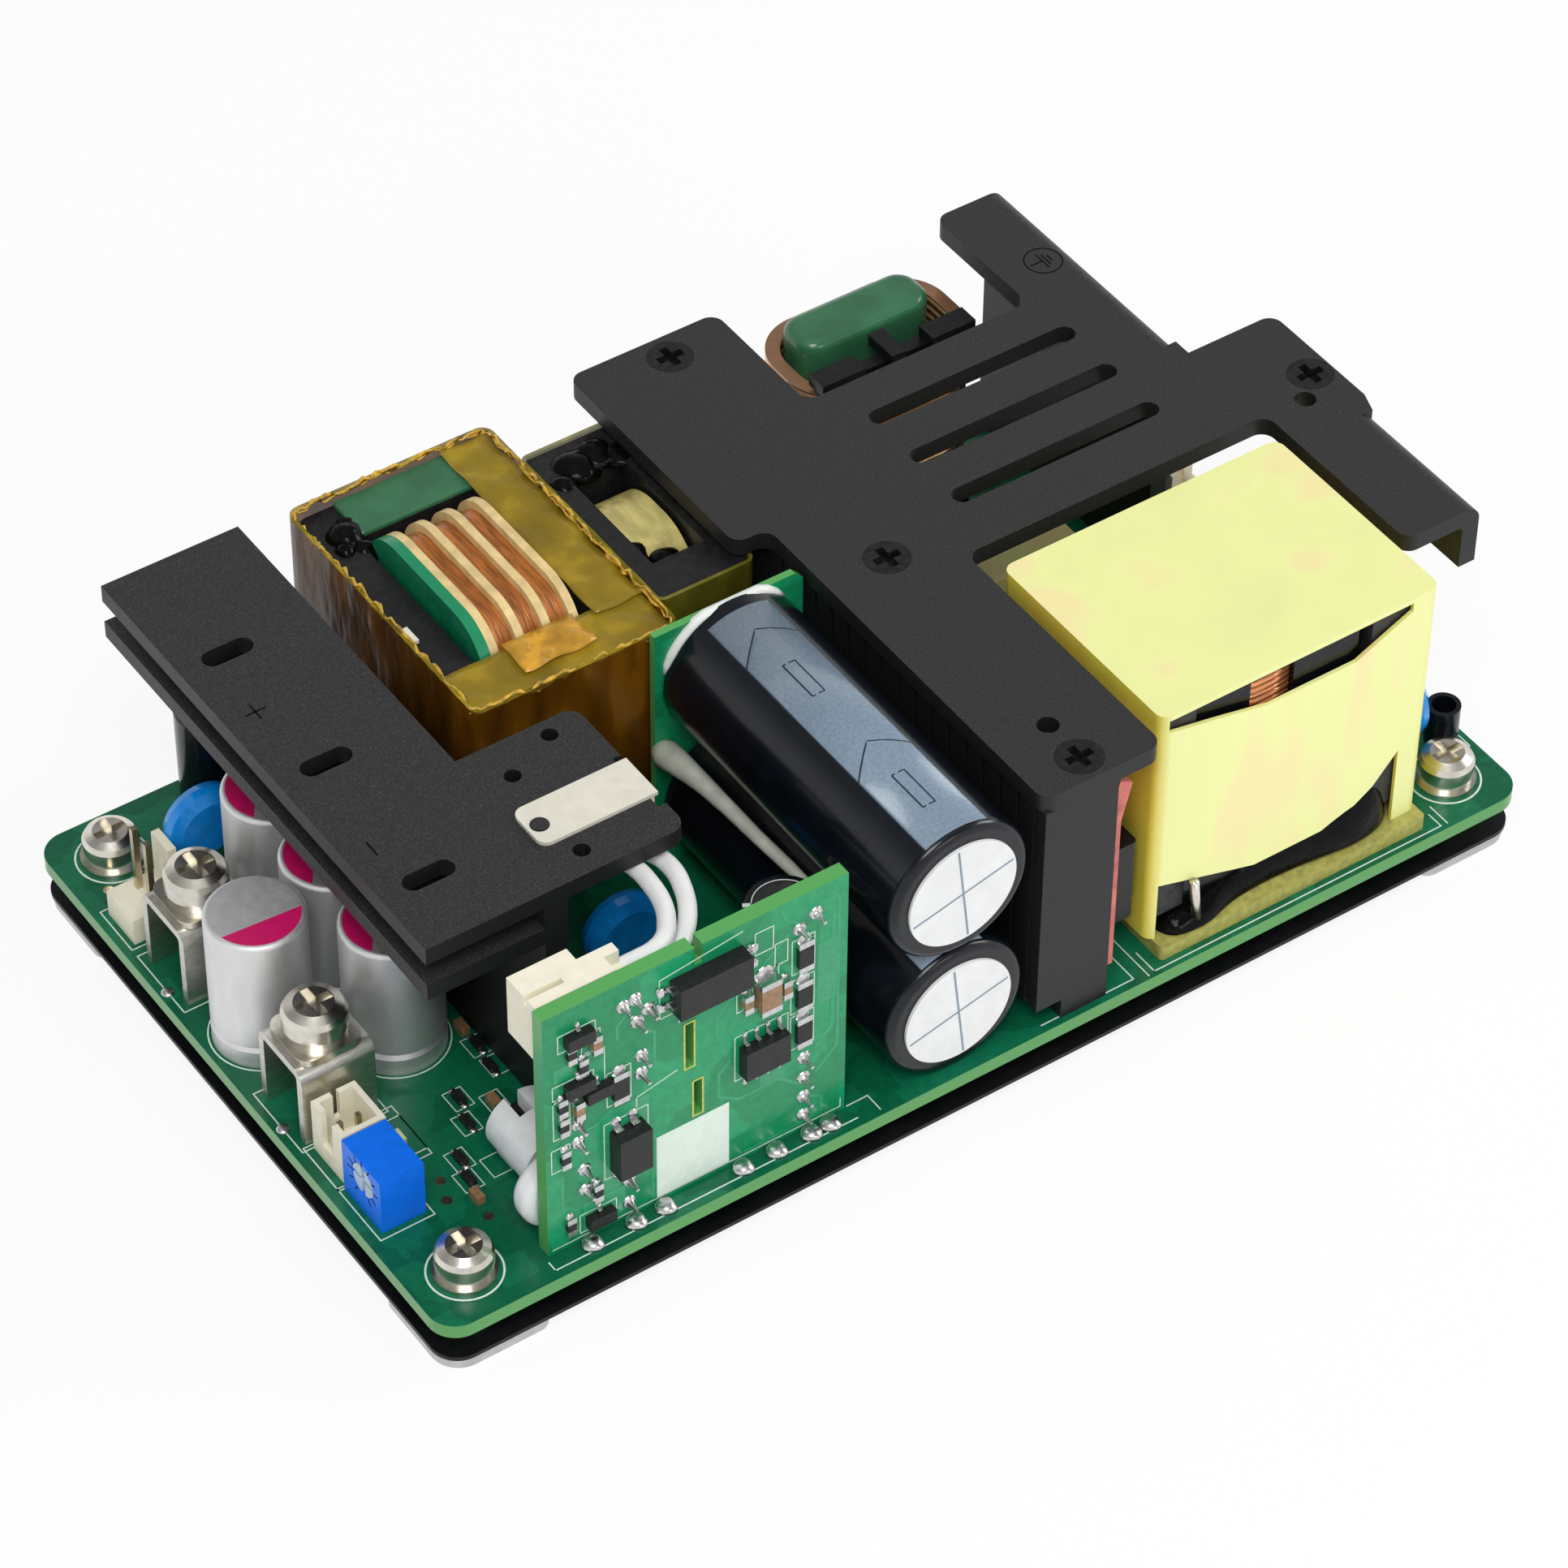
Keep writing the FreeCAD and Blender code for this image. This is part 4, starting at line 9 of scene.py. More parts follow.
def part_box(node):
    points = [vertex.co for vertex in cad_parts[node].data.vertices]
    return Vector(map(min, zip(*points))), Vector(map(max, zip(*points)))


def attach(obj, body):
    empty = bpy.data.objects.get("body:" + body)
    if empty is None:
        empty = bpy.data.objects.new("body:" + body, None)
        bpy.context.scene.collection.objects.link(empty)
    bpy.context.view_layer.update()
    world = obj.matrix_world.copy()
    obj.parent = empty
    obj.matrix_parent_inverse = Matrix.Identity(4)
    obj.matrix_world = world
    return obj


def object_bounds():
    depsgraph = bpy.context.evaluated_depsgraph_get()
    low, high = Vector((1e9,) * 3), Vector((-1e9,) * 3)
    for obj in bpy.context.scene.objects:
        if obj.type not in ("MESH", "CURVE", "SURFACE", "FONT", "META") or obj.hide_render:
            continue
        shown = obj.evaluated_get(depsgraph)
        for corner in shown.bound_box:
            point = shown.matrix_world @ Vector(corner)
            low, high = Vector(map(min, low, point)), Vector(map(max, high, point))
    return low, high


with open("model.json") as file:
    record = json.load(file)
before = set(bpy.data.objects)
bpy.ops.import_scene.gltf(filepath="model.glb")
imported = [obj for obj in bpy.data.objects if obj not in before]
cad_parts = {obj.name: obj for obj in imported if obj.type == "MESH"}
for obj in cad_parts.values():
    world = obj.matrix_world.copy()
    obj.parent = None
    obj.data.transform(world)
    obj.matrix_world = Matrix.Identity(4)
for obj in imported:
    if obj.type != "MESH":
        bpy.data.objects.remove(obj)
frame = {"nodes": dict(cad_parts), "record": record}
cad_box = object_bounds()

# Shapes are written in millimetres and turned into metres when a mesh is made. Lamps and floor are in metres.
MM = 0.001
DECK = 6.5  # top face of the main board; heights in the tables start from it
CONTROL_FACE = -35.3  # near face of the upright control board
NEAR = (0, -1, 0)  # the way that face looks
PLATE_TOP = DECK + 31.0  # top of the main heatsink plate
SINK_TOP = DECK + 30.0  # top of the output heatsink
TRANSFORMER_TOP = DECK + 29.6  # upper edge of the large transformer's tape
HOLE_X, HOLE_Y = 57.785, 32.385  # corner holes of the main board, either side of its middle
OUTPUT_CANS = ((-57.5, 4.0), (-47.55, -3.9), (-47.55, 6.8), (-47.55, 17.5))
OUTPUT_CAN_TOP = DECK + 16.2
STANDING_CAN = (-17.9, -26.0)
STANDING_CAN_TOP = DECK + 20.0
STORAGE_X, STORAGE_R = -5.6, 7.9  # middle and radius of the storage capacitors, which lie along Y
STORAGE_LOWER, STORAGE_UPPER = DECK + STORAGE_R, DECK + 3 * STORAGE_R  # heights of their middles
INK = 0.03  # thickness of printed lines
rng = random.Random(7)


# Materials

EVEN = (1, 1, 1)
MIX_FACTOR, MIX_FIRST, MIX_SECOND, MIX_RESULT = 0, 6, 7, 2  # sockets of a mix of colours
mats = {}


def material(name, color, rough, metal=0.0, spec=0.5, coat=0.0, alpha=1.0):
    """A new material, kept in mats by its name."""
    m = mats[name] = bpy.data.materials.new(name)
    m.use_nodes = True
    inputs = {
        "Base Color": (*color, 1), "Roughness": rough, "Metallic": metal, "Specular IOR Level": spec,
        "Coat Weight": coat, "Coat Roughness": 0.1, "Alpha": alpha,
    }
    for place, value in inputs.items():
        feed(m, shader(m).inputs[place], value)
    return m


def shader(m):
    return m.node_tree.nodes["Principled BSDF"]


def feed(holder, socket, value):
    """Links a socket to another one, or sets its value."""
    if isinstance(value, bpy.types.NodeSocket):
        holder.node_tree.links.new(value, socket)
    else:
        socket.default_value = value


def node(holder, kind, inputs=(), **settings):
    """A new node in a material or a world, with its settings and what its inputs get."""
    made = holder.node_tree.nodes.new(kind)
    for key, value in settings.items():
        setattr(made, key, value)
    for place, value in dict(inputs).items():
        feed(holder, made.inputs[place], value)
    return made


def position(m, scale=EVEN):
    """Object coordinates, scaled along each axis."""
    coords = node(m, "ShaderNodeTexCoord").outputs["Object"]
    return node(m, "ShaderNodeMapping", {"Vector": coords, "Scale": scale}).outputs["Vector"]


def noise(m, size, detail=3.0, rough=0.5, stretch=EVEN):
    """Noise whose features are about size millimetres across."""
    inputs = {"Vector": position(m, stretch), "Scale": 1 / (size * MM), "Detail": detail, "Roughness": rough}
    return node(m, "ShaderNodeTexNoise", inputs).outputs["Fac"]


def ramp(holder, source, stops):
    """Colours by value; each stop is a place from 0 to 1 and its colour."""
    made = node(holder, "ShaderNodeValToRGB", {"Fac": source})
    band = made.color_ramp
    for element, (place, color) in zip(band.elements, (stops[0], stops[-1])):
        element.position = place
        element.color = (*color, 1)
    for place, color in stops[1:-1]:
        band.elements.new(place).color = (*color, 1)
    return made.outputs["Color"]


def blend(m, factor, first, second, kind="MIX"):
    """Two colours mixed. The factor and the colours are each a socket or a value."""
    inputs = {MIX_FACTOR: factor, MIX_FIRST: first, MIX_SECOND: second}
    return node(m, "ShaderNodeMix", inputs, data_type="RGBA", blend_type=kind).outputs[MIX_RESULT]


def facing(m, axis):
    """How squarely a face looks along one axis, either way, from 0 to 1."""
    normal = node(m, "ShaderNodeNewGeometry").outputs["Normal"]
    along = node(m, "ShaderNodeSeparateXYZ", {"Vector": normal}).outputs[axis]
    return node(m, "ShaderNodeMath", {0: along}, operation="ABSOLUTE").outputs["Value"]


def paint(m, color):
    feed(m, shader(m).inputs["Base Color"], color)


def shade_of(color, k):
    return tuple(min(1, c * k) for c in color)


def mottle(m, color, size, amount, stretch=EVEN):
    """Small differences of brightness across the surface."""
    tones = [(0.3, shade_of(color, 1 - amount)), (0.7, shade_of(color, 1 + amount))]
    paint(m, ramp(m, noise(m, size, stretch=stretch), tones))


def bump(m, height, depth, strength=1.0):
    inputs = {"Height": height, "Strength": strength, "Distance": depth * MM}
    feed(m, shader(m).inputs["Normal"], node(m, "ShaderNodeBump", inputs).outputs["Normal"])


def rough_noise(m, size, low, high, stretch=EVEN):
    """Roughness that drifts between two levels."""
    inputs = {"Value": noise(m, size, stretch=stretch), "To Min": low, "To Max": high}
    feed(m, shader(m).inputs["Roughness"], node(m, "ShaderNodeMapRange", inputs).outputs["Result"])


def edge_split(m, face_color, edge_color, axis):
    """The faces across one axis get the face colour, the cut edges the edge colour."""
    over = node(m, "ShaderNodeMath", {0: facing(m, axis)}, operation="GREATER_THAN").outputs["Value"]
    paint(m, blend(m, over, (*edge_color, 1), face_color))


# name: colour, roughness, metallic, specular level, coat, size of the mottling, its amount,
# size of the surface relief and its depth in millimetres.
FINISHES = {
    "light_aluminium": ((0.5, 0.5, 0.5), 0.36, 1.0, 0.5, 0.0, 1.5, 0.1, 0.4, 0.01),
    "black_insulation": ((0.006, 0.006, 0.007), 0.4, 0.0, 0.22, 0.0, 4.0, 0.3, 1.2, 0.02),
    "bright_steel": ((0.66, 0.63, 0.56), 0.24, 1.0, 0.5, 0.0, 2.0, 0.14, 0.8, 0.012),
    "bracket_steel": ((0.62, 0.6, 0.55), 0.34, 1.0, 0.5, 0.0, 1.2, 0.16, 0.5, 0.012),
    "black_screw_steel": ((0.018, 0.018, 0.02), 0.26, 0.3, 0.35, 0.0, 0.6, 0.4, 0.3, 0.01),
    "red_silicone": ((0.6, 0.17, 0.15), 0.55, 0.0, 0.3, 0.0, 1.2, 0.18, 0.7, 0.06),
    "black_moulding": ((0.007, 0.007, 0.008), 0.3, 0.0, 0.3, 0.0, 1.0, 0.35, 0.3, 0.015),
    "grey_ferrite": ((0.03, 0.03, 0.032), 0.42, 0.0, 0.3, 0.0, 0.8, 0.4, 0.5, 0.03),
    "black_ferrite": ((0.012, 0.012, 0.013), 0.38, 0.0, 0.3, 0.0, 0.8, 0.4, 0.5, 0.03),
    "cream_paper": ((0.74, 0.56, 0.26), 0.5, 0.0, 0.4, 0.0, 1.5, 0.16, 0.8, 0.05),
    "pale_yellow_drum": ((0.55, 0.47, 0.16), 0.34, 0.0, 0.4, 0.3, 1.2, 0.3, 0.9, 0.12),
    "black_sleeve": ((0.004, 0.0055, 0.009), 0.22, 0.0, 0.25, 0.2, 3.0, 0.25, 5.0, 0.06),
    "white_disc": ((0.82, 0.83, 0.83), 0.36, 0.0, 0.4, 0.0, 2.0, 0.04, 0.5, 0.01),
    "ivory_spring": ((0.8, 0.77, 0.66), 0.36, 0.15, 0.5, 0.0, 1.5, 0.05, 0.5, 0.012),
    "chip_black": ((0.014, 0.014, 0.015), 0.42, 0.0, 0.3, 0.0, 0.4, 0.4, 0.3, 0.01),
    "chip_tan": ((0.3, 0.17, 0.08), 0.34, 0.0, 0.4, 0.2, 0.6, 0.2, 0.4, 0.01),
    "silver_can": ((0.72, 0.72, 0.73), 0.5, 0.85, 0.5, 0.0, 1.6, 0.05, 0.25, 0.012),
    "blue_ceramic": ((0.004, 0.26, 0.78), 0.18, 0.0, 0.4, 0.4, 2.0, 0.14, 2.5, 0.12),
    "white_nylon": ((0.88, 0.84, 0.68), 0.42, 0.0, 0.4, 0.0, 1.5, 0.05, 0.6, 0.02),
    "trimmer_blue": ((0.003, 0.17, 0.92), 0.34, 0.0, 0.4, 0.0, 1.0, 0.07, 0.4, 0.01),
    "rotor_white": ((0.5, 0.62, 0.74), 0.36, 0.0, 0.4, 0.0, 0.6, 0.1, 0.3, 0.01),
    "lamp_clear": ((0.6, 0.68, 0.3), 0.18, 0.0, 0.5, 0.5, 0.5, 0.14, 0.4, 0.02),
    "gold_pins": ((0.6, 0.52, 0.36), 0.24, 1.0, 0.5, 0.0, 1.0, 0.12, 0.5, 0.01),
    "white_sleeve": ((0.8, 0.82, 0.82), 0.36, 0.0, 0.4, 0.2, 1.6, 0.06, 1.2, 0.1),
    "lead_white": ((0.86, 0.86, 0.85), 0.38, 0.0, 0.4, 0.0, 2.0, 0.04, 1.5, 0.03),
    "glass_tube": ((0.4, 0.4, 0.38), 0.16, 0.0, 0.5, 0.3, 1.0, 0.1, 1.0, 0.02),
    "green_coating": ((0.035, 0.15, 0.07), 0.24, 0.0, 0.4, 0.3, 4.0, 0.16, 1.4, 0.04),
    "solder": ((0.6, 0.6, 0.6), 0.24, 1.0, 0.5, 0.0, 0.5, 0.16, 0.5, 0.03),
    "silk_white": ((0.68, 0.78, 0.7), 0.5, 0.0, 0.3, 0.0, 0.5, 0.12, 0.3, 0.01),
    "glue_white": ((0.8, 0.82, 0.78), 0.4, 0.0, 0.4, 0.2, 2.0, 0.05, 1.6, 0.12),
    "glue_black": ((0.0025, 0.0025, 0.0025), 0.12, 0.0, 0.1, 0.0, 1.5, 0.3, 1.5, 0.15),
    "glue_grey": ((0.5, 0.52, 0.44), 0.35, 0.0, 0.4, 0.2, 2.0, 0.14, 1.6, 0.12),
    "gloss_black": ((0.004, 0.004, 0.005), 0.12, 0.0, 0.22, 0.0, 1.5, 0.3, 1.5, 0.05),
    "crinkle_gold": ((0.56, 0.33, 0.03), 0.2, 0.0, 0.5, 0.3, 0.8, 0.45, 0.5, 0.1),
    "stripe_blue": ((0.2, 0.27, 0.35), 0.28, 0.0, 0.35, 0.2, 0.3, 0.16, 5.0, 0.05),
    "print_dark": ((0.02, 0.03, 0.045), 0.3, 0.0, 0.3, 0.0, 0.4, 0.2, 0.4, 0.005),
    "magenta": ((0.62, 0.006, 0.13), 0.35, 0.0, 0.4, 0.0, 0.5, 0.08, 0.3, 0.01),
    # engraved: near black, painted shade standing for the cut lines of engraved and moulded marks.
    "engraved": ((0.002, 0.002, 0.002), 0.6, 0.0, 0.1, 0.0, 0.4, 0.3, 0.3, 0.01),
    "patch_white": ((0.74, 0.84, 0.76), 0.45, 0.0, 0.3, 0.0, 1.0, 0.04, 0.4, 0.01),
    "gold_edge": ((0.5, 0.56, 0.12), 0.36, 0.2, 0.4, 0.0, 0.6, 0.14, 0.3, 0.01),
    "trace_green": ((0.02, 0.32, 0.14), 0.28, 0.0, 0.4, 0.2, 1.0, 0.1, 0.6, 0.01),
    "foil_copper": ((0.42, 0.14, 0.025), 0.34, 0.2, 0.5, 0.2, 0.8, 0.45, 0.6, 0.16),
    "tray_olive": ((0.4, 0.38, 0.1), 0.4, 0.0, 0.4, 0.0, 0.8, 0.22, 1.0, 0.03),
}
# Finishes that are drawn out, as scales of their coordinates along X, Y and Z.
DRAWN = {
    "bracket_steel": (1, 1, 5),
    "pale_yellow_drum": (1, 0.2, 2),
    "foil_copper": (2.5, 0.25, 0.25),
    "silver_can": (1, 1, 0.3),
}
BOARDS = {
    # solder mask, mask over copper, cut edge, axis across the board
    "circuit_board_green": ((0.003, 0.115, 0.052), (0.005, 0.15, 0.07), (0.09, 0.32, 0.085), 2),
    "upright_board_green": ((0.006, 0.26, 0.1), (0.01, 0.32, 0.13), (0.1, 0.38, 0.1), 1),
    "disc_board_green": ((0.006, 0.18, 0.085), (0.01, 0.22, 0.1), (0.014, 0.25, 0.11), 0),
}
# name: colour, roughness, length of about three turns and depth between them in millimetres.
WINDINGS = {
    "copper_wire": ((0.85, 0.34, 0.14), 0.26, 2.4, 0.15),
    "filter_copper": ((0.95, 0.5, 0.27), 0.22, 3.4, 0.2),
}
# name: colour, colour of the faces across an axis, that axis, roughness, alpha, size of the creases
# and their depth in millimetres, strength of the painted crease shade and sheen, green kept in the sheen
# tone, gloss.
TAPES = {
    "yellow_tape": ((0.88, 0.91, 0.38), (0.84, 0.72, 0.08), 0, 0.34, 1.0, 11.0, 0.3, 0.05, 0.86, 0.4),
    "amber_tape": ((0.16, 0.06, 0.003), (0.3, 0.22, 0.012), 2, 0.2, 0.72, 4.0, 0.3, 0.6, 1.0, 0.12),
    "amber_strip": ((0.4, 0.27, 0.015), (0.4, 0.27, 0.015), 2, 0.16, 0.6, 5.0, 0.3, 0.3, 1.0, 0.4),
    "amber_patch": ((0.75, 0.4, 0.04), (0.75, 0.4, 0.04), 2, 0.16, 0.6, 2.0, 0.3, 0.3, 1.0, 0.4),
    "olive_tape": ((0.16, 0.14, 0.014), (0.24, 0.22, 0.03), 2, 0.2, 0.7, 3.0, 0.25, 0.4, 1.0, 0.3),
}


def finish(name, color, rough, metallic, spec, coat, grain, amount, relief, depth):
    """An even coat of one colour, with the mottling and relief of its real material."""
    m = material(name, color, rough, metallic, spec, coat)
    stretch = DRAWN.get(name, EVEN)
    mottle(m, color, grain, amount, stretch)
    bump(m, noise(m, relief, stretch=stretch), depth)
    rough_noise(m, size=grain * 0.7, low=rough * 0.82, high=min(1, rough * 1.25), stretch=stretch)


def board(name, mask, pour, edge, axis):
    """Solder mask over patches of copper, with the bare laminate showing on the cut edges."""
    m = material(name, mask, rough=0.28, spec=0.3, coat=0.15)
    patch = 5.0
    inputs = {"Vector": position(m), "Scale": 1 / (patch * MM)}
    cells = node(m, "ShaderNodeTexVoronoi", inputs, distance="CHEBYCHEV", feature="F1").outputs["Color"]
    cell = node(m, "ShaderNodeSeparateColor", {"Color": cells}).outputs["Red"]
    color = ramp(m, cell, [(0.45, mask), (0.5, pour)])
    dim, bright = (0.6, 0.6, 0.6), (1.25, 1.25, 1.25)
    grain = ramp(m, noise(m, size=0.9, detail=4), [(0.3, dim), (0.7, bright)])
    edge_split(m, blend(m, factor=0.35, first=color, second=grain, kind="MULTIPLY"), edge, axis)


def wound(name, color, rough, three_turns, relief):
    """Enamelled copper whose turns show as lines across Z, with painted shade between the turns and a painted
    highlight on them.
    """
    m = material(name, color, rough, metal=0.6, coat=0.3)
    inputs = {"Vector": position(m), "Scale": 1 / (three_turns * MM), "Distortion": 0.5}
    shaded_groove_lines = node(m, "ShaderNodeTexWave", inputs, wave_type="BANDS", bands_direction="Z").outputs["Fac"]
    # The darkest stop is painted shade in the grooves between turns, the brightest a painted highlight on
    # each turn.
    paint(m, ramp(m, shaded_groove_lines, [(0.0, shade_of(color, 0.35)), (0.4, color), (1.0, shade_of(color, 1.2))]))
    bump(m, shaded_groove_lines, relief)


def tape(name, color, across, axis, rough, alpha, crease, depth, amount, sheen_green_kept, gloss):
    """Glossy film with long creases, painted darker in them as shade and lighter on them as sheen; the faces
    across one axis have their own colour.
    """
    m = material(name, color, rough, spec=gloss, coat=gloss * 0.7, alpha=alpha)
    folds = noise(m, crease, detail=2, stretch=(1, 1, 0.35))
    tones = []
    for tone in (color, across):
        red, green, blue = (c * (1 + amount) for c in tone)
        # Colour along the crease noise: the dark stop is painted shade in the creases, the light stop painted
        # sheen on them, warmer where less green is kept.
        stops = [(0.3, shade_of(tone, 1 - amount)), (0.55, tone), (0.63, (red, green * sheen_green_kept, blue))]
        tones.append(ramp(m, folds, stops))
    paint(m, blend(m, facing(m, axis), *tones))
    bump(m, noise(m, size=crease * 0.7, detail=2, stretch=(1, 1, 0.4)), depth)
    rough_noise(m, size=crease, low=rough * 0.8, high=rough * 1.4)


def anodised(name):
    """Black anodised aluminium, blasted before it was coloured: fine grain on the level faces, its brightest
    specks painted glints; the upright faces stay plain.
    """
    m = material(name, (0.009, 0.009, 0.01), rough=0.44, spec=0.3)
    plain = (0.013, 0.013, 0.014)
    # The level faces' speck colours: the dark ones are the blasted grain, the brightest (0.26) are painted
    # glints of the lamps.
    grain = (
        (0.3, plain), (0.52, (0.023, 0.023, 0.024)), (0.66, (0.06, 0.058, 0.056)), (0.78, (0.26, 0.25, 0.23)),
    )
    grain_and_glint_noise = noise(m, size=0.15, detail=4, rough=0.7)
    edge_split(m, ramp(m, grain_and_glint_noise, grain), plain, axis=2)
    bump(m, noise(m, size=0.16, detail=5, rough=0.8), depth=0.03, strength=0.7)
    rough_noise(m, size=0.5, low=0.38, high=0.52)


for table, make in ((FINISHES, finish), (BOARDS, board), (WINDINGS, wound), (TAPES, tape)):
    for name, settings in table.items():
        make(name, *settings)
anodised("dark_aluminium")


def dress():
    """Each CAD node gets the finish that the record names, or a closer one."""
    slots = {entry["node"]: entry["material_slot"] for entry in frame["record"]["subparts"]}
    closer = {
        "control_board": "upright_board_green",
        "riser_board": "upright_board_green",
        "terminal_brackets": "bracket_steel",
        "transformer_disc_board": "disc_board_green",
        "filter_coil": "filter_copper",
        "copper_windings": "foil_copper",
        "choke_tray": "tray_olive",
        "choke_bobbin": "gloss_black",
    }
    for name, thing in frame["nodes"].items():
        wanted = mats[closer.get(name, slots[name])]
        for place in thing.material_slots:
            place.material = wanted
        if not thing.material_slots:
            thing.data.materials.append(wanted)


# Mesh helpers


def new_object(name, data):
    thing = bpy.data.objects.new(name, data)
    bpy.context.scene.collection.objects.link(thing)
    return thing


def add(name, points, faces, mat, smooth=False):
    """A piece of the scene's own, which rides on the supply's body."""
    mesh = bpy.data.meshes.new(name)
    mesh.from_pydata([Vector(p) * MM for p in points], [], faces)
    mesh.validate()
    mesh.update()
    for face in mesh.polygons:
        face.use_smooth = smooth
    mesh.materials.append(mats[mat])
    thing = new_object(name, mesh)
    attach(thing, "supply")
    return thing


def at_height(z):
    """A function that places (u, v, h), with u and v along X and Y and h above a level."""
    return lambda u, v, h: (u, v, z + h)


on_deck = at_height(DECK)
as_it_is = at_height(0)


def on_control(u, v, h):
    """u along X, v above the main board, h out of the control board's near face."""
    return (u, CONTROL_FACE - h, DECK + v)


def turns(steps):
    """Evenly spaced angles round a circle."""
    return [2 * math.pi * k / steps for k in range(steps)]


def polar(centre, radius, angle):
    return (centre[0] + radius * math.cos(angle), centre[1] + radius * math.sin(angle))


def rounded(x0, y0, x1, y1, r):
    """A rectangle's outline with round corners."""
    steps = 6
    points = []
    corners = ((x1 - r, y1 - r, 0), (x0 + r, y1 - r, 90), (x0 + r, y0 + r, 180), (x1 - r, y0 + r, 270))
    for cx, cy, start in corners:
        points += [polar((cx, cy), r, math.radians(start + 90 * k / steps)) for k in range(steps + 1)]
    return points


def bands(rows, count):
    """The faces between neighbouring rows of points, each row a closed loop of count points."""
    faces = []
    for i in range(rows - 1):
        for k in range(count):
            j = (k + 1) % count
            faces.append((i * count + k, i * count + j, (i + 1) * count + j, (i + 1) * count + k))
    return faces


class Shapes:
    """Collects many small shapes into one mesh."""

    def __init__(self):
        self.points = []
        self.faces = []

    def grow(self, points, faces):
        start = len(self.points)
        self.points += [tuple(p) for p in points]
        self.faces += [tuple(start + i for i in face) for face in faces]

    def box(self, low, high):
        (x0, y0, z0), (x1, y1, z1) = low, high
        corners = [(x, y, z) for z in (z0, z1) for y in (y0, y1) for x in (x0, x1)]
        faces = [(0, 2, 3, 1), (4, 5, 7, 6), (0, 1, 5, 4), (2, 6, 7, 3), (0, 4, 6, 2), (1, 3, 7, 5)]
        self.grow(corners, faces)

    def prism(self, outline, low, high, place=as_it_is):
        """A closed outline in two axes, raised along the third; place maps (u, v, height) to (x, y, z)."""
        n = len(outline)
        points = [place(u, v, h) for h in (low, high) for u, v in outline]
        faces = [tuple(range(n - 1, -1, -1)), tuple(range(n, 2 * n))]
        self.grow(points, faces + bands(2, n))

    def ring(self, centre, inner, outer, low, high, place=as_it_is):
        """A flat ring with square edges."""
        steps = 40
        points = []
        for a in turns(steps):
            for r, h in ((inner, low), (outer, low), (outer, high), (inner, high)):
                points.append(place(*polar(centre, r, a), h))
        faces = []
        for i in range(steps):
            j = (i + 1) % steps
            for k in range(4):
                l = (k + 1) % 4
                faces.append((4 * i + k, 4 * j + k, 4 * j + l, 4 * i + l))
        self.grow(points, faces)

    def disc(self, centre, radius, low, high, place=as_it_is, steps=32):
        self.prism([polar(centre, radius, a) for a in turns(steps)], low, high, place)

    def dome(self, centre, radius, height, steps=14, rings=5, axis=(0, 0, 1), wobble=0.0):
        """A rounded blob that stands on a plane, like a drop of solder or glue."""
        up = Vector(axis)
        side = up.orthogonal().normalized()
        other = up.cross(side)
        points = []
        for k in range(rings):
            tilt = math.pi / 2 * k / rings
            for a in turns(steps):
                r = radius * math.cos(tilt) * (1 + wobble * math.sin(3 * a + k))
                foot = Vector(centre) + side * (r * math.cos(a)) + other * (r * math.sin(a))
                points.append(foot + up * (height * math.sin(tilt)))
        points.append(Vector(centre) + up * height)
        tip = rings * steps
        last = tip - steps
        faces = [tuple(range(steps - 1, -1, -1))] + bands(rings, steps)
        faces += [(last + i, last + (i + 1) % steps, tip) for i in range(steps)]
        self.grow(points, faces)

    def tube(self, path, radius, steps=10):
        """A round bar along a path; radius is one size, or one for each point."""
        spots = [Vector(p) for p in path]
        sizes = radius if isinstance(radius, (tuple, list)) else [radius] * len(spots)
        points = []
        side = None
        for i, spot in enumerate(spots):
            ahead = (spots[min(i + 1, len(spots) - 1)] - spots[max(i - 1, 0)]).normalized()
            if side is None:
                side = ahead.orthogonal().normalized()
            side = (side - ahead * side.dot(ahead)).normalized()
            other = ahead.cross(side)
            points += [spot + (side * math.cos(a) + other * math.sin(a)) * sizes[i] for a in turns(steps)]
        faces = [tuple(range(steps - 1, -1, -1)), tuple(range(len(points) - steps, len(points)))]
        self.grow(points, faces + bands(len(spots), steps))

    def taper(self, start, end, first, last):
        """A round bar that narrows, like the solder up a cut lead."""
        steps = 5
        spots = [Vector(start).lerp(Vector(end), k / steps) for k in range(steps + 1)]
        sizes = [last + (first - last) * (1 - k / steps) ** 2.2 for k in range(steps + 1)]
        self.tube(spots, sizes, steps=12)

    def slab(self, u0, u1, v0, v1, low, high):
        """A box over the control board's near face, between two heights above it."""
        u0, u1 = sorted((u0, u1))
        v0, v1 = sorted((v0, v1))
        self.box((u0, CONTROL_FACE - high, DECK + v0), (u1, CONTROL_FACE - low, DECK + v1))

    def leg(self, u, edge, bend, foot, half, height):
        """A bent leg from a package's edge down to the control board's face, and solder at its foot."""
        thick = 0.2
        self.slab(u - half, u + half, edge, bend, height - thick, height)
        self.slab(u - half, u + half, bend, foot, 0, thick)
        self.slab(u - half, u + half, bend - thick / 2, bend + thick / 2, 0.05, height)
        self.dome(on_control(u, foot, 0), radius=half * 1.4, height=0.3, axis=NEAR, steps=10, rings=3)

    def ladder(self, points, steps):
        """Closes a thin bent band whose rows have two outer and two inner points."""
        faces = [(0, 2, 3, 1), (4 * steps, 4 * steps + 1, 4 * steps + 3, 4 * steps + 2)]
        for k in range(steps):
            i, j = 4 * k, 4 * k + 4
            faces += [(i, i + 1, j + 1, j), (i + 2, j + 2, j + 3, i + 3)]
            faces += [(i, j, j + 2, i + 2), (i + 1, i + 3, j + 3, j + 1)]
        self.grow(points, faces)

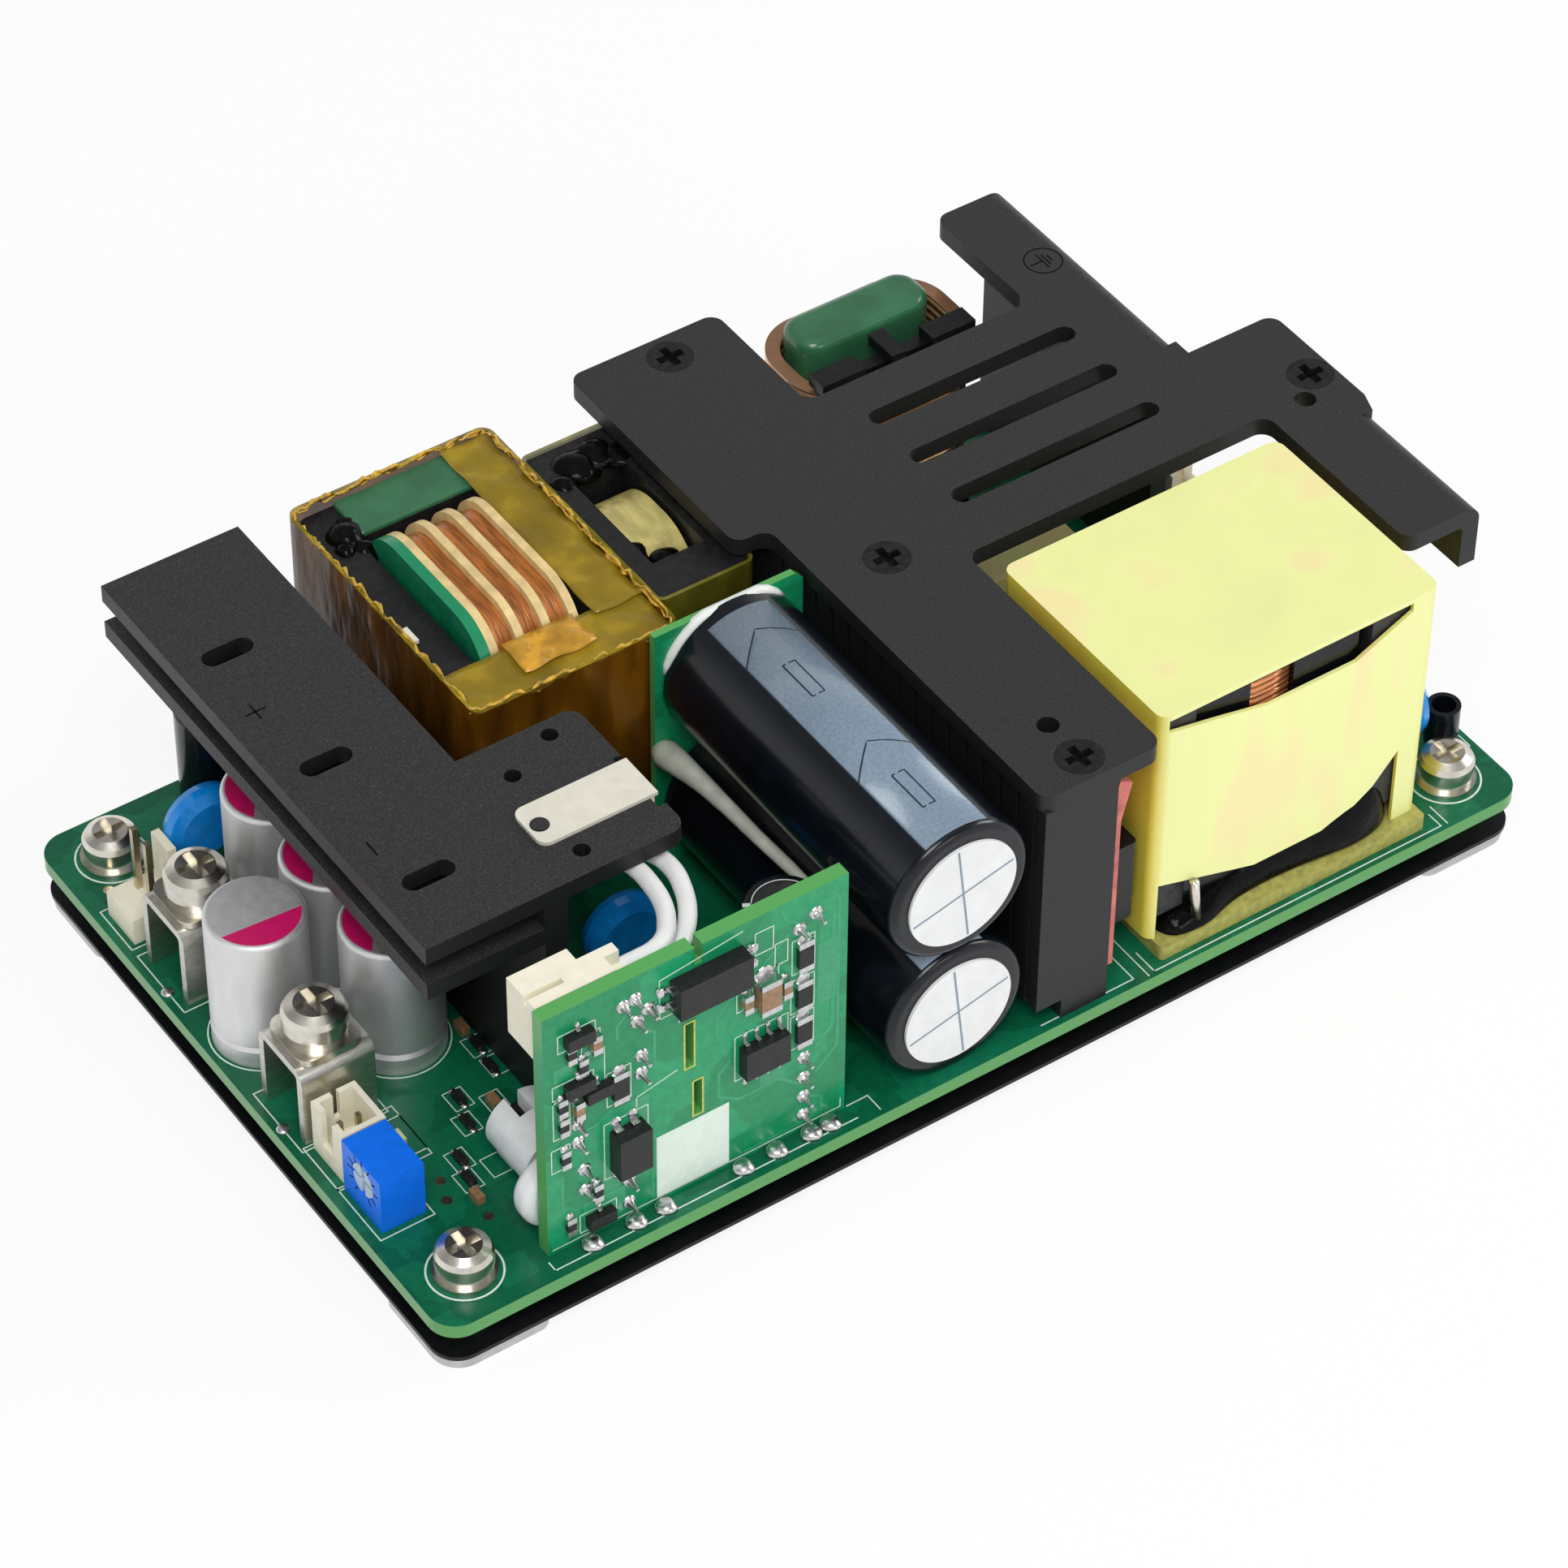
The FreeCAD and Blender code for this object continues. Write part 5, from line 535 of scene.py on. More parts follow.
    def loft(self, rows):
        """A closed skin over rows of points, each row an arch that stands on the same floor."""
        count = len(rows[0])
        total = len(rows) * count
        faces = [tuple(range(count - 1, -1, -1)), tuple(range(total - count, total))]
        self.grow([point for row in rows for point in row], faces + bands(len(rows), count))

    def sheet(self, low, high, z, wave):
        """A rectangle of thin film with a slight wave, in cells of about 0.8 mm."""
        cell, thickness = 0.8, 0.05
        nx, ny = (max(2, int((high[k] - low[k]) / cell)) for k in (0, 1))
        points = []
        for h in (0, thickness):
            for j in range(ny + 1):
                for i in range(nx + 1):
                    x = low[0] + (high[0] - low[0]) * i / nx
                    y = low[1] + (high[1] - low[1]) * j / ny
                    swell = math.sin(x * 1.3 + 0.6 * math.sin(y)) * math.cos(y * 1.1)
                    points.append((x, y, z + wave * swell + h))
        row = nx + 1
        layer = row * (ny + 1)
        faces = []
        for j in range(ny):
            for i in range(nx):
                a = j * row + i
                b, c, d = a + 1, a + row + 1, a + row
                faces += [(d, c, b, a), (layer + a, layer + b, layer + c, layer + d)]
        rim = [*range(row), *(j * row + nx for j in range(1, ny + 1))]
        rim += [*(ny * row + i for i in range(nx - 1, -1, -1)), *(j * row for j in range(ny - 1, 0, -1))]
        for a, b in zip(rim, rim[1:] + rim[:1]):
            faces.append((a, b, layer + b, layer + a))
        self.grow(points, faces)

    def strip(self, path, width, low, high, place=as_it_is):
        """A flat line along a path. Every second stretch is a little higher, so no two tops share a plane."""
        rise = 0.004
        for k, ((u0, v0), (u1, v1)) in enumerate(zip(path, path[1:])):
            along = Vector((u1 - u0, v1 - v0, 0)).normalized() * width / 2
            side = Vector((-along.y, along.x, 0))
            a, b = Vector((u0, v0, 0)) - along, Vector((u1, v1, 0)) + along
            corners = [(a - side)[:2], (b - side)[:2], (b + side)[:2], (a + side)[:2]]
            self.prism(corners, low, high + rise * (k % 2), place)

    def border(self, u0, v0, u1, v1, width, low, high, place=as_it_is):
        self.strip([(u0, v0), (u1, v0), (u1, v1), (u0, v1), (u0, v0)], width, low, high, place)

    def make(self, name, mat, slot, smooth=False):
        return add(name, self.points, self.faces, mat, smooth)


# Prints and solder on the main board

DECK_FRAMES = (
    (-62.3, -17.6, -52.6, -11.2), (-62.3, -25.0, -56.4, -17.3), (-54.6, -18.4, -52.6, -12.6),
    (-62.6, 10.2, -53.2, 19.2), (-62.6, -11.6, -53.2, -2.6), (-62.6, 20.2, -55.6, 26.4),
    (54.6, -30.2, 62.8, -20.4),
)
DECK_LINES = (
    ((-17.0, -35.3), (-14.6, -35.3), (-14.6, -37.4)),
    ((16.9, -37.7), (16.9, -20.0)),
    ((17.7, -37.5), (53.2, -37.5), (53.2, -35.6)),
    ((17.7, -37.5), (17.7, -34.6)),
    ((54.0, -37.5), (54.0, -34.8)),
    ((-50.9, -37.1), (-17.0, -37.1)),
    ((-50.9, -37.1), (-50.9, -36.0)),
    ((4.4, -37.2), (15.4, -37.2), (15.4, -33.0)),
    ((-30.0, -12.0), (-17.0, -12.0), (-17.0, -30.0)),
)
DECK_PADS = (
    (-41.6, -12.2), (-46.9, -14.0), (-47.9, -17.1), (-48.4, -23.0),
    (-50.9, -20.6), (-44.2, -16.2), (-51.6, -23.2), (-41.8, -9.1),
)
BOARD_CHIPS = (
    (-46.85, -14.0), (-47.85, -17.1), (-50.85, -20.6),
    (-51.55, -23.2), (-41.65, -9.1), (-42.15, -12.2),
)
BOARD_TEST_PADS = (
    (-44.0, -33.0), (-53.8, -21.8), (-54.6, -24.2), (-52.4, -28.0), (-56.0, 29.4), (-60.4, 28.6),
)
# Solder along the control board's foot, and round the leads of parts near the output end
CONTROL_FOOT_Y = -36.3
CONTROL_FOOT_JOINTS = (-46.3, -41.5, -38.2, -29.5, -25.7, -21.8, -19.6)
LEAD_JOINTS = ((-62.6, -8.0), (-53.2, -8.0), (-62.6, 13.4), (-53.2, 13.4), (-55.6, -29.0))


def deck_print():
    """White printed outlines on the main board."""
    s = Shapes()
    ink = {"low": 0, "high": INK, "place": on_deck}
    for x in (-HOLE_X, HOLE_X):
        for y in (-HOLE_Y, HOLE_Y):
            s.ring((x, y), inner=3.55, outer=3.75, **ink)
    for corners in DECK_FRAMES:
        s.border(*corners, width=0.13, **ink)
    for path in DECK_LINES:
        s.strip(path, width=0.13, **ink)
    for x, y in DECK_PADS:
        s.border(x - 1.0, y - 1.3, x + 1.0, y + 1.3, width=0.1, **ink)
    for can in OUTPUT_CANS:
        s.ring(can, inner=5.25, outer=5.4, **ink)
    s.make("board_print", "silk_white", "white_disc")


def deck_solder():
    """Solder along the control board's foot, round leads and at chips, and bare gold test pads."""
    s = Shapes()
    for x in CONTROL_FOOT_JOINTS:
        s.dome((x, CONTROL_FOOT_Y, DECK), radius=1.15, height=0.8, wobble=0.08)
    for x, y in LEAD_JOINTS:
        s.dome((x, y, DECK), radius=0.7, height=0.35)
    for x, y in BOARD_CHIPS:
        for shift in (-1.05, 1.05):
            s.dome((x, y + shift, DECK), radius=0.5, height=0.3, steps=8, rings=3)
    s.make("board_solder", "solder", "bright_steel", smooth=True)
    gold = Shapes()
    for spot in BOARD_TEST_PADS:
        gold.disc(spot, radius=0.55, low=0, high=INK, place=on_deck, steps=16)
    gold.make("board_test_pads", "gold_pins", "gold_pins")


# Prints, traces and joints on the control board's near face

CONTROL_FRAMES = (
    (-23.5, 21.6, -21.0, 26.0), (-23.6, 16.4, -21.0, 20.8), (-23.6, 11.6, -21.0, 16.0),
    (-43.8, 16.2, -41.2, 20.6), (-29.8, 11.2, -23.9, 17.0), (-44.2, 6.6, -39.4, 14.0),
    (-49.6, 20.1, -45.2, 22.2), (-48.9, 26.3, -44.9, 28.5), (-47.0, 1.0, -43.0, 3.4),
    (-49.9, 10.9, -47.9, 13.9), (-28.2, 19.4, -25.0, 24.0), (-29.6, 20.2, -27.9, 22.8),
    (-25.4, 24.0, -24.0, 26.8), (-27.6, 26.6, -25.6, 29.4), (-49.6, 15.2, -47.8, 20.4),
    (-46.4, 24.7, -44.4, 27.2), (-46.3, 19.4, -44.0, 24.4),
)
CONTROL_LINES = (
    ((-38.0, 24.4), (-38.0, 29.4), (-29.0, 30.6)),
    ((-38.0, 24.4), (-35.9, 24.4), (-35.9, 22.8)),
    ((-40.6, 15.6), (-36.2, 16.6)),
    ((-40.6, 15.6), (-40.6, 14.4)),
    ((-50.0, 0.5), (-17.8, 0.5), (-17.8, 1.6)),
)
CONTROL_FIELDS = (
    (-46.6, 1.2, -42.0, 4.7), (-44.4, 4.8, -39.2, 15.4), (-49.4, 22.6, -47.4, 24.4),
    (-31.6, 24.6, -29.2, 28.2), (-27.0, 8.6, -24.2, 10.8), (-20.6, 16.0, -18.4, 24.0),
)
CONTROL_TRACES = (
    ((-19.6, 28.6), (-18.9, 27.6), (-18.9, 12.6), (-20.6, 10.6)),
    ((-19.0, 30.0), (-18.3, 28.9), (-18.3, 9.4), (-20.6, 7.2)),
    ((-24.0, 27.2), (-26.8, 24.8), (-28.6, 24.8)),
    ((-22.4, 27.6), (-24.2, 29.4), (-24.6, 30.6)),
    ((-30.4, 14.4), (-31.6, 13.2), (-31.6, 10.2), (-29.4, 8.6), (-24.8, 8.6), (-22.6, 6.6)),
    ((-39.9, 24.2), (-38.6, 23.2), (-38.6, 18.4)),
    ((-41.2, 27.6), (-42.6, 26.2), (-42.6, 24.6)),
    ((-46.8, 14.6), (-45.0, 14.6), (-43.4, 15.6)),
    ((-38.9, 5.2), (-38.9, 1.0)),
    ((-20.9, 1.2), (-24.4, 0.9), (-28.6, 0.9)),
    ((-30.2, 22.6), (-31.8, 21.0), (-31.8, 18.8)),
    ((-22.0, 4.6), (-20.0, 3.2), (-20.0, 1.4)),
    ((-48.8, 9.6), (-48.8, 4.4), (-47.4, 3.2)),
)
CONTROL_JOINTS = (
    (-20.9, 28.4), (-22.7, 27.3), (-22.05, 9.8), (-22.05, 7.1), (-22.05, 4.5), (-22.05, 2.0),
    (-41.9, 28.4), (-40.4, 25.6), (-40.0, 20.9), (-40.1, 18.6), (-47.0, 15.95), (-47.0, 13.5),
    (-46.4, 9.5), (-46.3, 6.7), (-41.55, 5.0), (-41.6, 2.0), (-40.6, 28.6), (-39.2, 26.6),
)
CONTROL_PATCH = ((-38.5, 0.5), (-30.45, 0.5), (-30.45, 8.8), (-38.5, 8.8))
CONTROL_SLOTS = ((-35.35, 16.1, -34.25, 22.1), (-34.45, 9.3, -33.35, 14.0))
# Width, length and height of each kind of chip, and the left edge and foot of each one, as in part.py
CONTROL_CHIPS = (
    ((0.9, 1.6, 0.55), (
        (-48.1, 25.0), (-46.9, 22.6), (-49.2, 18.6), (-49.1, 16.0), (-49.0, 11.6), (-45.6, 5.0), (-48.6, 2.2),
    )),
    ((0.9, 1.6, 0.9), ((-24.9, 20.2), (-29.2, 20.7), (-45.6, 25.2), (-47.6, 17.6))),
    ((1.6, 3.2, 0.55), ((-23.0, 22.2), (-23.1, 17.0), (-23.1, 12.2), (-43.3, 16.8))),
    ((2.2, 3.4, 1.4), ((-27.7, 19.9),)),
)
SMALL_TRANSISTORS = ((-48.3, 26.9), (-48.4, 20.6), (-46.4, 18.8), (-46.4, 1.6))  # left edge and foot


def control_print():
    """Outlines, a white patch, traces and gold slot rims on the control board's near face."""
    s = Shapes()
    ink = {"low": 0, "high": INK, "place": on_control}
    for corners in CONTROL_FRAMES:
        s.border(*corners, width=0.1, **ink)
    for path in CONTROL_LINES:
        s.strip(path, width=0.1, **ink)
    s.make("control_print", "silk_white", "white_disc")
    patch = Shapes()
    patch.prism(CONTROL_PATCH, **ink)
    patch.make("control_patch", "patch_white", "white_disc")
    copper = Shapes()
    for path in CONTROL_TRACES:
        copper.strip(path, width=0.35, low=0, high=0.02, place=on_control)
    for u0, v0, u1, v1 in CONTROL_FIELDS:
        copper.prism([(u0, v0), (u1, v0), (u1, v1), (u0, v1)], low=0, high=0.015, place=on_control)
    copper.make("control_traces", "trace_green", "circuit_board_green")
    rims = Shapes()
    for corners in CONTROL_SLOTS:
        rims.border(*corners, width=0.2, low=0, high=0.04, place=on_control)
    rims.make("control_slot_rims", "gold_edge", "gold_pins")


def control_metal():
    """Pin joints, package legs and chip ends on the control board's near face."""
    s = Shapes()
    for u, v in CONTROL_JOINTS:
        x, y, z = on_control(u, v, 0)
        s.dome((x, y, z), radius=0.75, height=0.3, axis=NEAR, steps=14, rings=3)
        s.taper((x, y - 0.1, z), (x, y - 1.5, z - 0.1), first=0.5, last=0.2)
    eight_pin_legs(s)
    bridge_legs(s)
    long_package_legs(s)
    for u, v in SMALL_TRANSISTORS:
        s.leg(u + 1.45, v + 1.4, v + 1.6, v + 2.1, half=0.22, height=0.5)
        for shift in (0.5, 2.4):
            s.leg(u + shift, v, v - 0.2, v - 0.7, half=0.22, height=0.5)
    for size, spots in CONTROL_CHIPS:
        for u, v in spots:
            chip_ends(s, u, v, *size)
    s.make("control_solder", "solder", "bright_steel")


def eight_pin_legs(s):
    first, pitch = -28.75, 1.27
    for k in range(4):
        for foot, edge in ((16.9, 15.5), (10.5, 11.9)):
            bend = edge + (foot - edge) * 0.35
            s.leg(first + pitch * k, edge, bend, foot, half=0.21, height=0.75)


def bridge_legs(s):
    for u in (-42.9, -41.1):
        for edge, bend, foot in ((12.8, 13.1, 13.8), (7.6, 7.3, 6.7)):
            s.leg(u, edge, bend, foot, half=0.4, height=0.9)


def long_package_legs(s):
    """Two broad feet at each end of the long package, with their solder."""
    for v in (26.0, 28.0):
        for end, way in ((-36.9, -1), (-29.0, 1)):
            s.slab(end, end + way * 1.5, v - 0.35, v + 0.35, low=0, high=0.28)
            s.slab(end, end + way * 0.3, v - 0.25, v + 0.25, low=0.2, high=1.0)
            spot = on_control(end + way * 1.0, v, 0.1)
            s.dome(spot, radius=0.6, height=0.5, axis=NEAR, steps=12, rings=4, wobble=0.15)


def chip_ends(s, u, v, width, length, height):
    """The metal caps at a chip's two ends and the solder before them."""
    cap, half, proud = 0.7, 0.35, 0.03
    for edge, toe in ((v - half, 0.05), (v + length - half, 0.65)):
        s.slab(u - proud, u + width + proud, edge, edge + cap, low=0, high=height + 0.02)
        s.dome(on_control(u + width / 2, edge + toe, 0.02), radius=width * 0.5, height=0.3, axis=NEAR)


# Marks on the capacitors and heatsinks


def storage_labels():
    """The pale stripe with its outlined signs on each storage capacitor, and the end discs' score lines,
    grooves drawn as grey-blue lines of painted shade.
    """
    left, right = 29, -24  # the stripe's edges, in degrees from straight up
    near, far = -36.2, -0.6  # its ends along Y
    disc_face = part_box("storage_end_discs")[0][1] / MM
    box_top = cad_box[1][2] / MM
    for tag, z in (("lower", STORAGE_LOWER), ("upper", STORAGE_UPPER)):

        def wrap(angle, along, h, z=z):
            """A place over the can's side, kept down to the top of the CAD model's box."""
            a = math.radians(angle)
            r = STORAGE_R + h
            return (STORAGE_X - r * math.sin(a), along, min(z + r * math.cos(a), box_top + h * 0.1))

        def on_disc(u, v, h, z=z):
            return (STORAGE_X + u, disc_face - h, z + v)

        stripe = Shapes()
        band_on(stripe, wrap, right, left, near, far, height=INK)
        stripe.make(f"{tag}_stripe", "stripe_blue", "black_sleeve", smooth=True)
        signs = Shapes()
        for apex in (-3.8, -22.2):
            chevron = ((left, apex - 3.4), (4, apex), (right, apex - 2.0))
            for (a0, y0), (a1, y1) in zip(chevron, chevron[1:]):
                line_on(signs, wrap, a0, y0, a1, y1, width=0.16)
        for middle in (-11.9, -29.7):
            y0, y1 = middle - 2.5, middle + 2.5
            for ends in ((9, y0, 9, y1), (-1, y0, -1, y1), (9, y0, -1, y0), (9, y1, -1, y1)):
                line_on(signs, wrap, *ends, width=0.16)
        for angle in (left, right):
            line_on(signs, wrap, angle, near, angle, far, width=0.12)
        signs.make(f"{tag}_stripe_signs", "print_dark", "black_sleeve")
        # The score lines are grooves in the end discs; their grey-blue colour is painted shade.
        shaded_groove_lines = Shapes()
        reach = 5.7
        for turn, high in ((14, 0.03), (97, 0.035)):
            ends = [polar((0, 0), r, math.radians(turn)) for r in (-reach, reach)]
            shaded_groove_lines.strip(ends, width=0.2, low=0, high=high, place=on_disc)
        shaded_groove_lines.make(f"{tag}_score_groove_shade", "stripe_blue", "white_disc")


def band_on(s, wrap, a0, a1, y0, y1, height):
    """A thin band on a can's round side between two angles."""
    steps = 24
    points = []
    for k in range(steps + 1):
        a = a0 + (a1 - a0) * k / steps
        points += [wrap(a, y0, height), wrap(a, y1, height), wrap(a, y0, 0), wrap(a, y1, 0)]
    s.ladder(points, steps)


def line_on(s, wrap, a0, y0, a1, y1, width):
    """A line on the can's round side, in steps of about 4 degrees so that it bends with it."""
    height = 0.05
    steps = max(1, int(abs(a1 - a0) / 4))
    du, dv = math.radians(a1 - a0) * STORAGE_R, y1 - y0
    length = math.hypot(du, dv)
    nu, nv = -dv / length * width / 2, du / length * width / 2
    turn = math.degrees(nu / STORAGE_R)
    points = []
    for k in range(steps + 1):
        t = k / steps
        a, y = a0 + (a1 - a0) * t, y0 + (y1 - y0) * t
        for h in (height, 0):
            points += [wrap(a + turn, y + nv, h), wrap(a - turn, y - nv, h)]
    s.ladder(points, steps)


def output_can_tops():
    """A magenta field on each output capacitor's top, cut off by a chord."""
    s = Shapes()
    radius, chord = 4.45, 1.5
    half = math.acos(chord / radius)
    for can, turn in zip(OUTPUT_CANS, (-94, 147, 147, 147)):
        angles = [math.radians(turn) - half + 2 * half * k / 16 for k in range(17)]
        s.prism([polar(can, radius, a) for a in angles], OUTPUT_CAN_TOP, OUTPUT_CAN_TOP + 0.02)
    s.make("output_can_fields", "magenta", "silver_can")


def standing_can_top():
    """The metal end of the small standing capacitor inside its black sleeve, with a pale ring and marks."""
    level = {"low": STANDING_CAN_TOP, "high": STANDING_CAN_TOP + INK}
    s = Shapes()
    s.disc(STANDING_CAN, radius=2.9, **level)
    s.make("standing_can_end", "grey_ferrite", "black_sleeve")
    marks = Shapes()
    marks.ring(STANDING_CAN, inner=3.05, outer=3.16, **level)
    for turn in (150, 180, 210):
        marks.strip([polar(STANDING_CAN, r, math.radians(turn)) for r in (3.3, 3.7)], width=0.5, **level)
    marks.make("standing_can_marks", "silk_white", "black_sleeve")


def plate_marks():
    """An earth sign on the main plate and polarity signs on the output heatsink, engraved lines drawn in near
    black as painted shade.
    """
    thick = 0.02
    x, y = 49.2, 25.6
    earth = Shapes()
    on_plate = {"low": 0, "high": thick, "place": at_height(PLATE_TOP)}
    earth.ring((x, y), inner=1.9, outer=2.04, **on_plate)
    earth.strip([(x - 1.5, y), (x - 0.2, y)], width=0.16, **on_plate)
    for k, reach in enumerate((1.1, 0.75, 0.4)):
        u = x - 0.1 + 0.45 * k
        earth.strip([(u, y - reach), (u, y + reach)], width=0.16, **on_plate)
    earth.make("earth_sign", "engraved", "dark_aluminium")
    poles = Shapes()
    plus, minus = (-50.3, 14.4), (-50.8, -7.1)
    for (u, v), du, dv in ((plus, 0, 1.0), (plus, 1.0, 0), (minus, 0, 0.9)):
        ends = [(u - du, v - dv), (u + du, v + dv)]
        poles.strip(ends, width=0.2, low=0, high=thick, place=at_height(SINK_TOP))
    poles.make("polarity_signs", "engraved", "dark_aluminium")


# Sealant and adhesive

# x, y and height above the board along the grey bead, and its radii
BEAD_PATH = (
    (-13.6, 1.9, 15.6), (-13.6, 1.2, 15.7), (-13.6, 0.2, 15.8), (-13.5, -1.6, 16.1), (-13.4, -3.6, 16.3),
    (-13.2, -6.0, 16.3), (-13.0, -9.5, 16.2), (-12.8, -14.0, 16.0), (-12.5, -19.0, 15.9),
    (-12.3, -24.0, 15.9),
)
BEAD_RADII = (0.6, 1.2, 1.5, 1.35, 1.15, 0.95, 0.8, 0.7, 0.65, 0.4)
# x, y, height above the board, radius and height of each lump
LUMPS = (
    (-29.6, 32.2, 27.4, 2.1, 2.2), (-30.7, 30.4, 27.0, 1.4, 2.0), (-28.9, 30.0, 27.0, 1.6, 1.8),
    (-30.3, 28.0, 26.8, 1.2, 1.5), (-28.7, 33.6, 27.4, 1.3, 1.6), (-5.6, 28.6, 27.6, 2.6, 1.5),
    (-3.0, 29.2, 27.7, 2.4, 1.2), (-8.0, 26.8, 27.4, 1.7, 1.5), (-0.9, 27.8, 27.8, 2.0, 0.9),
    (-6.8, 16.2, 25.0, 1.9, 2.6), (-4.6, 13.8, 25.4, 2.0, 2.0), (-9.0, 21.0, 25.6, 1.2, 1.6),
    (-8.8, 24.4, 26.0, 1.3, 1.5),
)
# The adhesive under the choke: x, y of its near edge, and height over its own floor
PUDDLE = (
    (20.0, -34.4, 0.3), (20.6, -35.9, 1.2), (21.6, -36.5, 1.9), (23.4, -36.75, 2.2), (25.2, -36.7, 2.3),
    (26.6, -36.2, 2.5), (28.6, -35.6, 3.0), (31.5, -35.4, 3.6), (34.1, -35.4, 4.2), (37.0, -35.6, 4.8),
    (40.0, -36.0, 5.4), (42.6, -36.4, 6.0), (44.8, -36.3, 6.6), (46.6, -35.9, 6.2), (47.9, -35.0, 4.0),
    (48.6, -34.2, 0.5),
)


def sealant():
    """A grey bead beside the storage capacitors and a white arc behind the upper one."""
    bead = Shapes()
    bead.tube([(x, y, z + DECK) for x, y, z in BEAD_PATH], BEAD_RADII, steps=16)
    bead.make("sealant_bead", "glue_grey", "white_sleeve", smooth=True)
    arc = Shapes()
    behind, highest = 1.1, 37.4
    path = []
    for k in range(15):
        x, z = polar((STORAGE_X, STORAGE_UPPER), STORAGE_R, math.radians(40 + 9 * k))
        path.append((x, behind, min(z, highest)))
    arc.tube(path, [0.2, 0.45] + [0.6] * 11 + [0.45, 0.2], steps=10)
    arc.make("white_sealant", "glue_white", "white_sleeve", smooth=True)


def adhesive():
    """Black adhesive: lumps on the two transformers and a puddle under the choke, where a pin stands."""
    lumps = Shapes()
    for x, y, z, radius, height in LUMPS:
        lumps.dome((x, y, DECK + z), radius, height, steps=18, rings=6, wobble=0.1)
    lumps.make("black_adhesive", "glue_black", "black_moulding", smooth=True)
    floor_z, far = DECK + 1.65, -33.6
    rows = []
    for x, near, height in PUDDLE:
        quarter = [math.pi / 2 * k / 9 for k in range(10)]
        arch = [(x, near + (far - near) * (1 - math.cos(a)), floor_z + height * math.sin(a)) for a in quarter]
        rows.append(arch + [(x, far, floor_z)])
    puddle = Shapes()
    puddle.loft(rows)
    thing = puddle.make("choke_adhesive", "glue_black", "black_moulding", smooth=True)
    rounder = thing.modifiers.new("round", "SUBSURF")
    rounder.levels = rounder.render_levels = 2
    pin = Shapes()
    pin.tube([(23.9, -35.9, DECK + 2.0), (23.2, -35.9, DECK + 7.9)], radius=0.5, steps=12)
    pin.make("choke_pin", "bright_steel", "bright_steel", smooth=True)


# Tape, turns and small details


def transformer_dress():
    """Film strips and a patch on the large transformer's top, its coated far leg and a white tab."""
    top = TRANSFORMER_TOP
    film = Shapes()
    film.sheet((-33.0, 3.3), (-10.7, 9.7), top - 0.86, wave=0.16)
    film.sheet((-16.1, 8.6), (-10.7, 36.9), top - 0.5, wave=0.16)
    film.make("transformer_top_tape", "amber_strip", "amber_tape", smooth=True)
    patch = Shapes()
    patch.sheet((-26.0, 5.4), (-18.0, 9.9), top - 0.35, wave=0.22)
    patch.make("transformer_tape_patch", "amber_patch", "amber_tape", smooth=True)
    leg = Shapes()
    leg.prism(rounded(-28.4, 31.2, -11.2, 36.7, r=0.4), DECK + 28.0, DECK + 28.8)
    coat = leg.make("coated_leg", "green_coating", "green_coating")
    soften = coat.modifiers.new("edge", "BEVEL")
    soften.width = 0.25 * MM
    soften.segments = 3
    soften.limit_method = "ANGLE"
    tab = Shapes()
    tab.box((-32.3, 15.4, top - 3.2), (-31.7, 17.6, top - 0.9))
    tab.make("transformer_tab", "white_nylon", "white_nylon")


def tape_folds():
    """The crinkled upper edge of the large transformer's tape: two ragged beads round its outline."""
    low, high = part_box("transformer_tape")
    x0, y0, x1, y1 = (c / MM for c in (low[0], low[1], high[0], high[1]))
    inset, stretch = 0.35, 0.7
    outline = rounded(x0 + inset, y0 + inset, x1 - inset, y1 - inset, r=1.2)
    folds = Shapes()
    for lift in (0.05, -0.3):
        path, sizes = [], []
        for (u0, v0), (u1, v1) in zip(outline, outline[1:] + outline[:1]):
            steps = max(1, int(math.hypot(u1 - u0, v1 - v0) / stretch))
            for k in range(steps):
                t = k / steps
                wide = rng.uniform(-0.22, 0.22)
                z = TRANSFORMER_TOP + lift + rng.uniform(-0.3, 0.2)
                path.append((u0 + (u1 - u0) * t + wide, v0 + (v1 - v0) * t + wide, z))
                sizes.append(rng.uniform(0.08, 0.26))
        folds.tube(path + path[:1], sizes + sizes[:1], steps=6)
    folds.make("transformer_tape_folds", "crinkle_gold", "amber_tape", smooth=True)


def choke_turns():
    """The copper strands that show in the choke's opening: some over each other, the rest further back."""
    s = Shapes()
    strands, stacked, step_back, rise = 17, 11, 0.45, 0.46
    for k in range(strands):
        y = -33.5 + step_back * max(0, k - stacked)
        z = DECK + 24.6 + rise * min(k, stacked)
        path = [(29.3, y, z - 0.1), (30.6, y - 0.25, z), (32.4, y - 0.3, z + 0.1), (35.1, y, z - 0.1)]
        s.tube(path, radius=0.25, steps=8)
    s.make("choke_strands", "copper_wire", "copper_wire", smooth=True)


